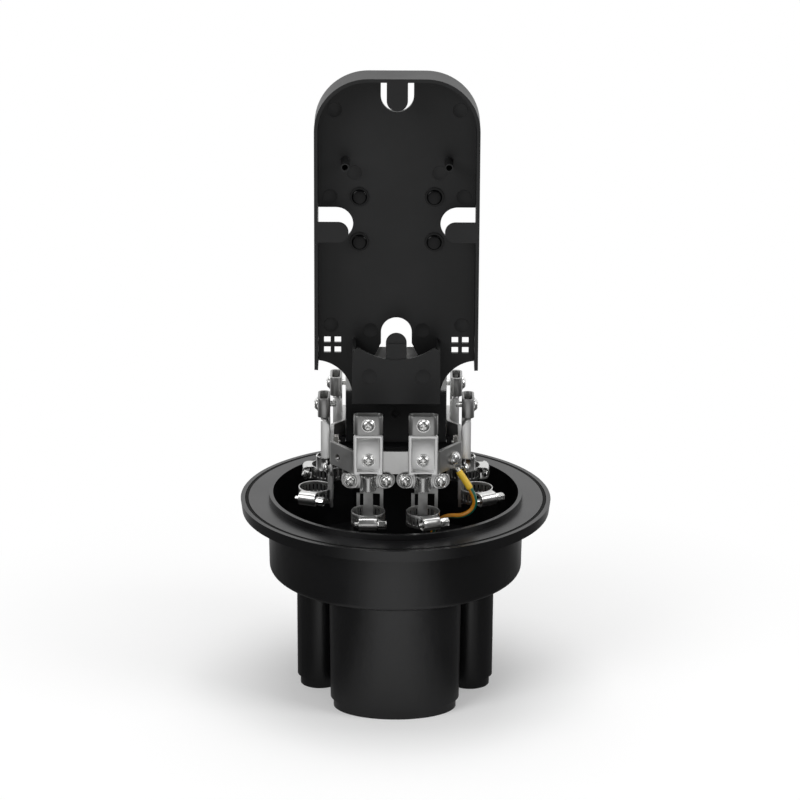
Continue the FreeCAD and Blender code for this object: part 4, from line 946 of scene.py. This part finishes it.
def worm_form():
    """Along X, its head to the right."""
    profile = [(0, -8.6), (1.2, -8.6), (1.5, -8.3), (1.5, -WORM_REACH)]
    y = -WORM_REACH
    while y < WORM_REACH - 0.8:
        profile += [(1.7, y + 0.1), (2.2, y + 0.45), (2.2, y + 0.65), (1.7, y + 1.0)]
        y += 1.0
    profile += [(1.9, WORM_REACH - 0.3), (1.9, WORM_REACH + 0.2), (0, WORM_REACH + 0.2)]
    shank = turned("worm_shank", profile, 32)
    tip = WORM_REACH + HEAD_LONG
    head = turned("worm_head", [
        (0, WORM_REACH), (2.9, WORM_REACH), (3.1, WORM_REACH + 0.3), (3.1, tip - 0.5), (2.6, tip - 0.05),
        (0, tip)], 6)
    work = bmesh.new()
    block(work, (0, tip, 0), HEAD_SLOT)
    head = edged(without(head, meshed("slot_cutter", work)), 0.18, 25)
    mesh = joined("worm_form", shank, head)
    mesh.transform(Matrix.Rotation(math.radians(-90), 4, "Z"))
    return smooth(mesh, 30)


worm_metal = metal("worm_metal", (0.62, 0.62, 0.61), 0.24, drawn=(300.0, 300.0, 300.0), depth=0.0,
                   spread=0.03)
worm_mesh = worm_form()
for step, name in enumerate(STATIONS):
    mesh = worm_mesh.copy()
    mesh.transform(worm_frames[name] @ Matrix.Rotation(WORM_TURN * step, 4, "X"))
    settled("slotted_worm_" + name, mesh, ["worm_screw_" + name], "worm_" + name, worm_metal)

# The nuts behind the hoop, the lugs, and the stud in the cup's floor: plated steel and tin,
# all in the same warm grey.

nut_metal = metal("nut_metal", (0.6, 0.585, 0.55), 0.3)
for name in ("holder_nuts", "earth_stud", "earth_lugs"):
    dress(name, nut_metal, 0.15 * mm)

# The earth wire: stranded, in amber insulation with a green stripe. It goes from the lug on
# the hoop out past the right front clamp, back along the cup's wall and down to the stud in
# the floor. A pale yellow sleeve is shrunk over the lug's barrel and the wire's first stretch.

WIRE_ROUTE = [
    (43.0, -38.95, 156.11), (52.6, -40.1, 142.2), (51.3, -39.9, 132.6), (43.4, -39.7, 127.6),
    (34.0, -39.5, 128.2), (26.6, -36.5, 122.5), (24.4, -31.0, 113.0), (24.0, -24.5, 102.0),
    (24.0, -24.5, 90.0)]
WIRE_RADIUS = 1.7
STRIPE_AT = Vector((0.7, -0.65, 0.35))
STRIPE_EDGE = (0.68, 0.76)
STRIPE_GREEN = (0.0, 0.1, 0.07, 1)
AMBER_DEEP, AMBER_PALE = (0.42, 0.16, 0.002, 1), (0.52, 0.21, 0.004, 1)
SLEEVE_RADIUS = 2.2
SLEEVE_BACK, SLEEVE_AHEAD = 3.4, 12.0
SLEEVE_LIP = 0.25
SLEEVE_NEAR_DROP, SLEEVE_FAR_DROP = 0.25, 0.2
YELLOW_DEEP, YELLOW_PALE = (0.66, 0.42, 0.02, 1), (0.78, 0.52, 0.045, 1)


def tube(name, spots, radii, sides=24):
    """A tube along spots, with how far each of its points faces the stripe as an attribute."""
    work = bmesh.new()
    layer = work.verts.layers.float.new("stripe")
    rings = []
    mark = STRIPE_AT.copy()
    for step, (place, radius) in enumerate(zip(spots, radii)):
        ahead = spots[min(step + 1, len(spots) - 1)] - spots[max(step - 1, 0)]
        ahead.normalize()
        mark = (mark - ahead * mark.dot(ahead)).normalized()
        beside = ahead.cross(mark)
        ring = []
        for side in range(sides):
            a = math.tau * side / sides
            vertex = work.verts.new(place + (mark * math.cos(a) + beside * math.sin(a)) * radius)
            vertex[layer] = math.cos(a)
            ring.append(vertex)
        rings.append(ring)
    ringed(work, rings, capped=True)
    return smooth(meshed(name, work), 50)


route = bpy.data.curves.new("earth_wire_route", "CURVE")
route.dimensions = "3D"
route.resolution_u = 10
spline = route.splines.new("NURBS")
spline.points.add(len(WIRE_ROUTE) - 1)
for point, place in zip(spline.points, WIRE_ROUTE):
    point.co = (*(c * mm for c in place), 1)
spline.order_u = 3
spline.use_endpoint_u = True
wire_path = [vertex.co.copy() for vertex in plain(linked("earth_wire_route", route)).vertices]

insulation = Finish("wire_insulation_amber")
stripe = insulation.node("ShaderNodeAttribute", {"attribute_name": "stripe"}, None, "Fac")
mottle = insulation.noise(insulation.place(), 220.0, 3.0)
amber = insulation.mix(insulation.between(mottle, 0.0, 1.0, 0.3, 0.7), AMBER_DEEP, AMBER_PALE)
amber_finish = insulation.principled(
    Base_Color=insulation.mix(insulation.between(stripe, 0.0, 1.0, *STRIPE_EDGE), amber, STRIPE_GREEN),
    Roughness=insulation.between(mottle, 0.3, 0.42),
    Normal=insulation.bump(insulation.noise(insulation.place(), 1500.0), 0.006 * mm))
wire_mesh = tube("earth_wire_tube", wire_path, [WIRE_RADIUS * mm] * len(wire_path))
wire = settled("earth_wire_striped", wire_mesh, ["earth_wire"], material=amber_finish)

shrunk = Finish("sleeve_yellow")
soft = shrunk.noise(shrunk.place(), 180.0, 3.0)
sleeve_finish = shrunk.principled(
    Base_Color=shrunk.mix(soft, YELLOW_DEEP, YELLOW_PALE), Roughness=shrunk.between(soft, 0.32, 0.46),
    Normal=shrunk.bump(shrunk.noise(shrunk.place(), 700.0), 0.01 * mm))
heading = (wire_path[1] - wire_path[0]).normalized()
sleeve_start = wire_path[0] - heading * (SLEEVE_BACK * mm)
sleeve_spots = [sleeve_start, sleeve_start + heading * (SLEEVE_LIP * mm)]
run = 0.0
for first, second in zip(wire_path, wire_path[1:]):
    if run > SLEEVE_AHEAD * mm:
        break
    sleeve_spots.append(first)
    run += (second - first).length
onward = (sleeve_spots[-1] - sleeve_spots[-2]).normalized()
sleeve_spots.append(sleeve_spots[-1] + onward * (SLEEVE_LIP * mm))
sleeve_radii = [SLEEVE_RADIUS * mm] * len(sleeve_spots)
sleeve_radii[0] -= SLEEVE_NEAR_DROP * mm
sleeve_radii[-1] -= SLEEVE_FAR_DROP * mm
sleeve = settled("earth_sleeve_shrunk", tube("earth_sleeve_tube", sleeve_spots, sleeve_radii),
                 ["earth_sleeve"], material=sleeve_finish)
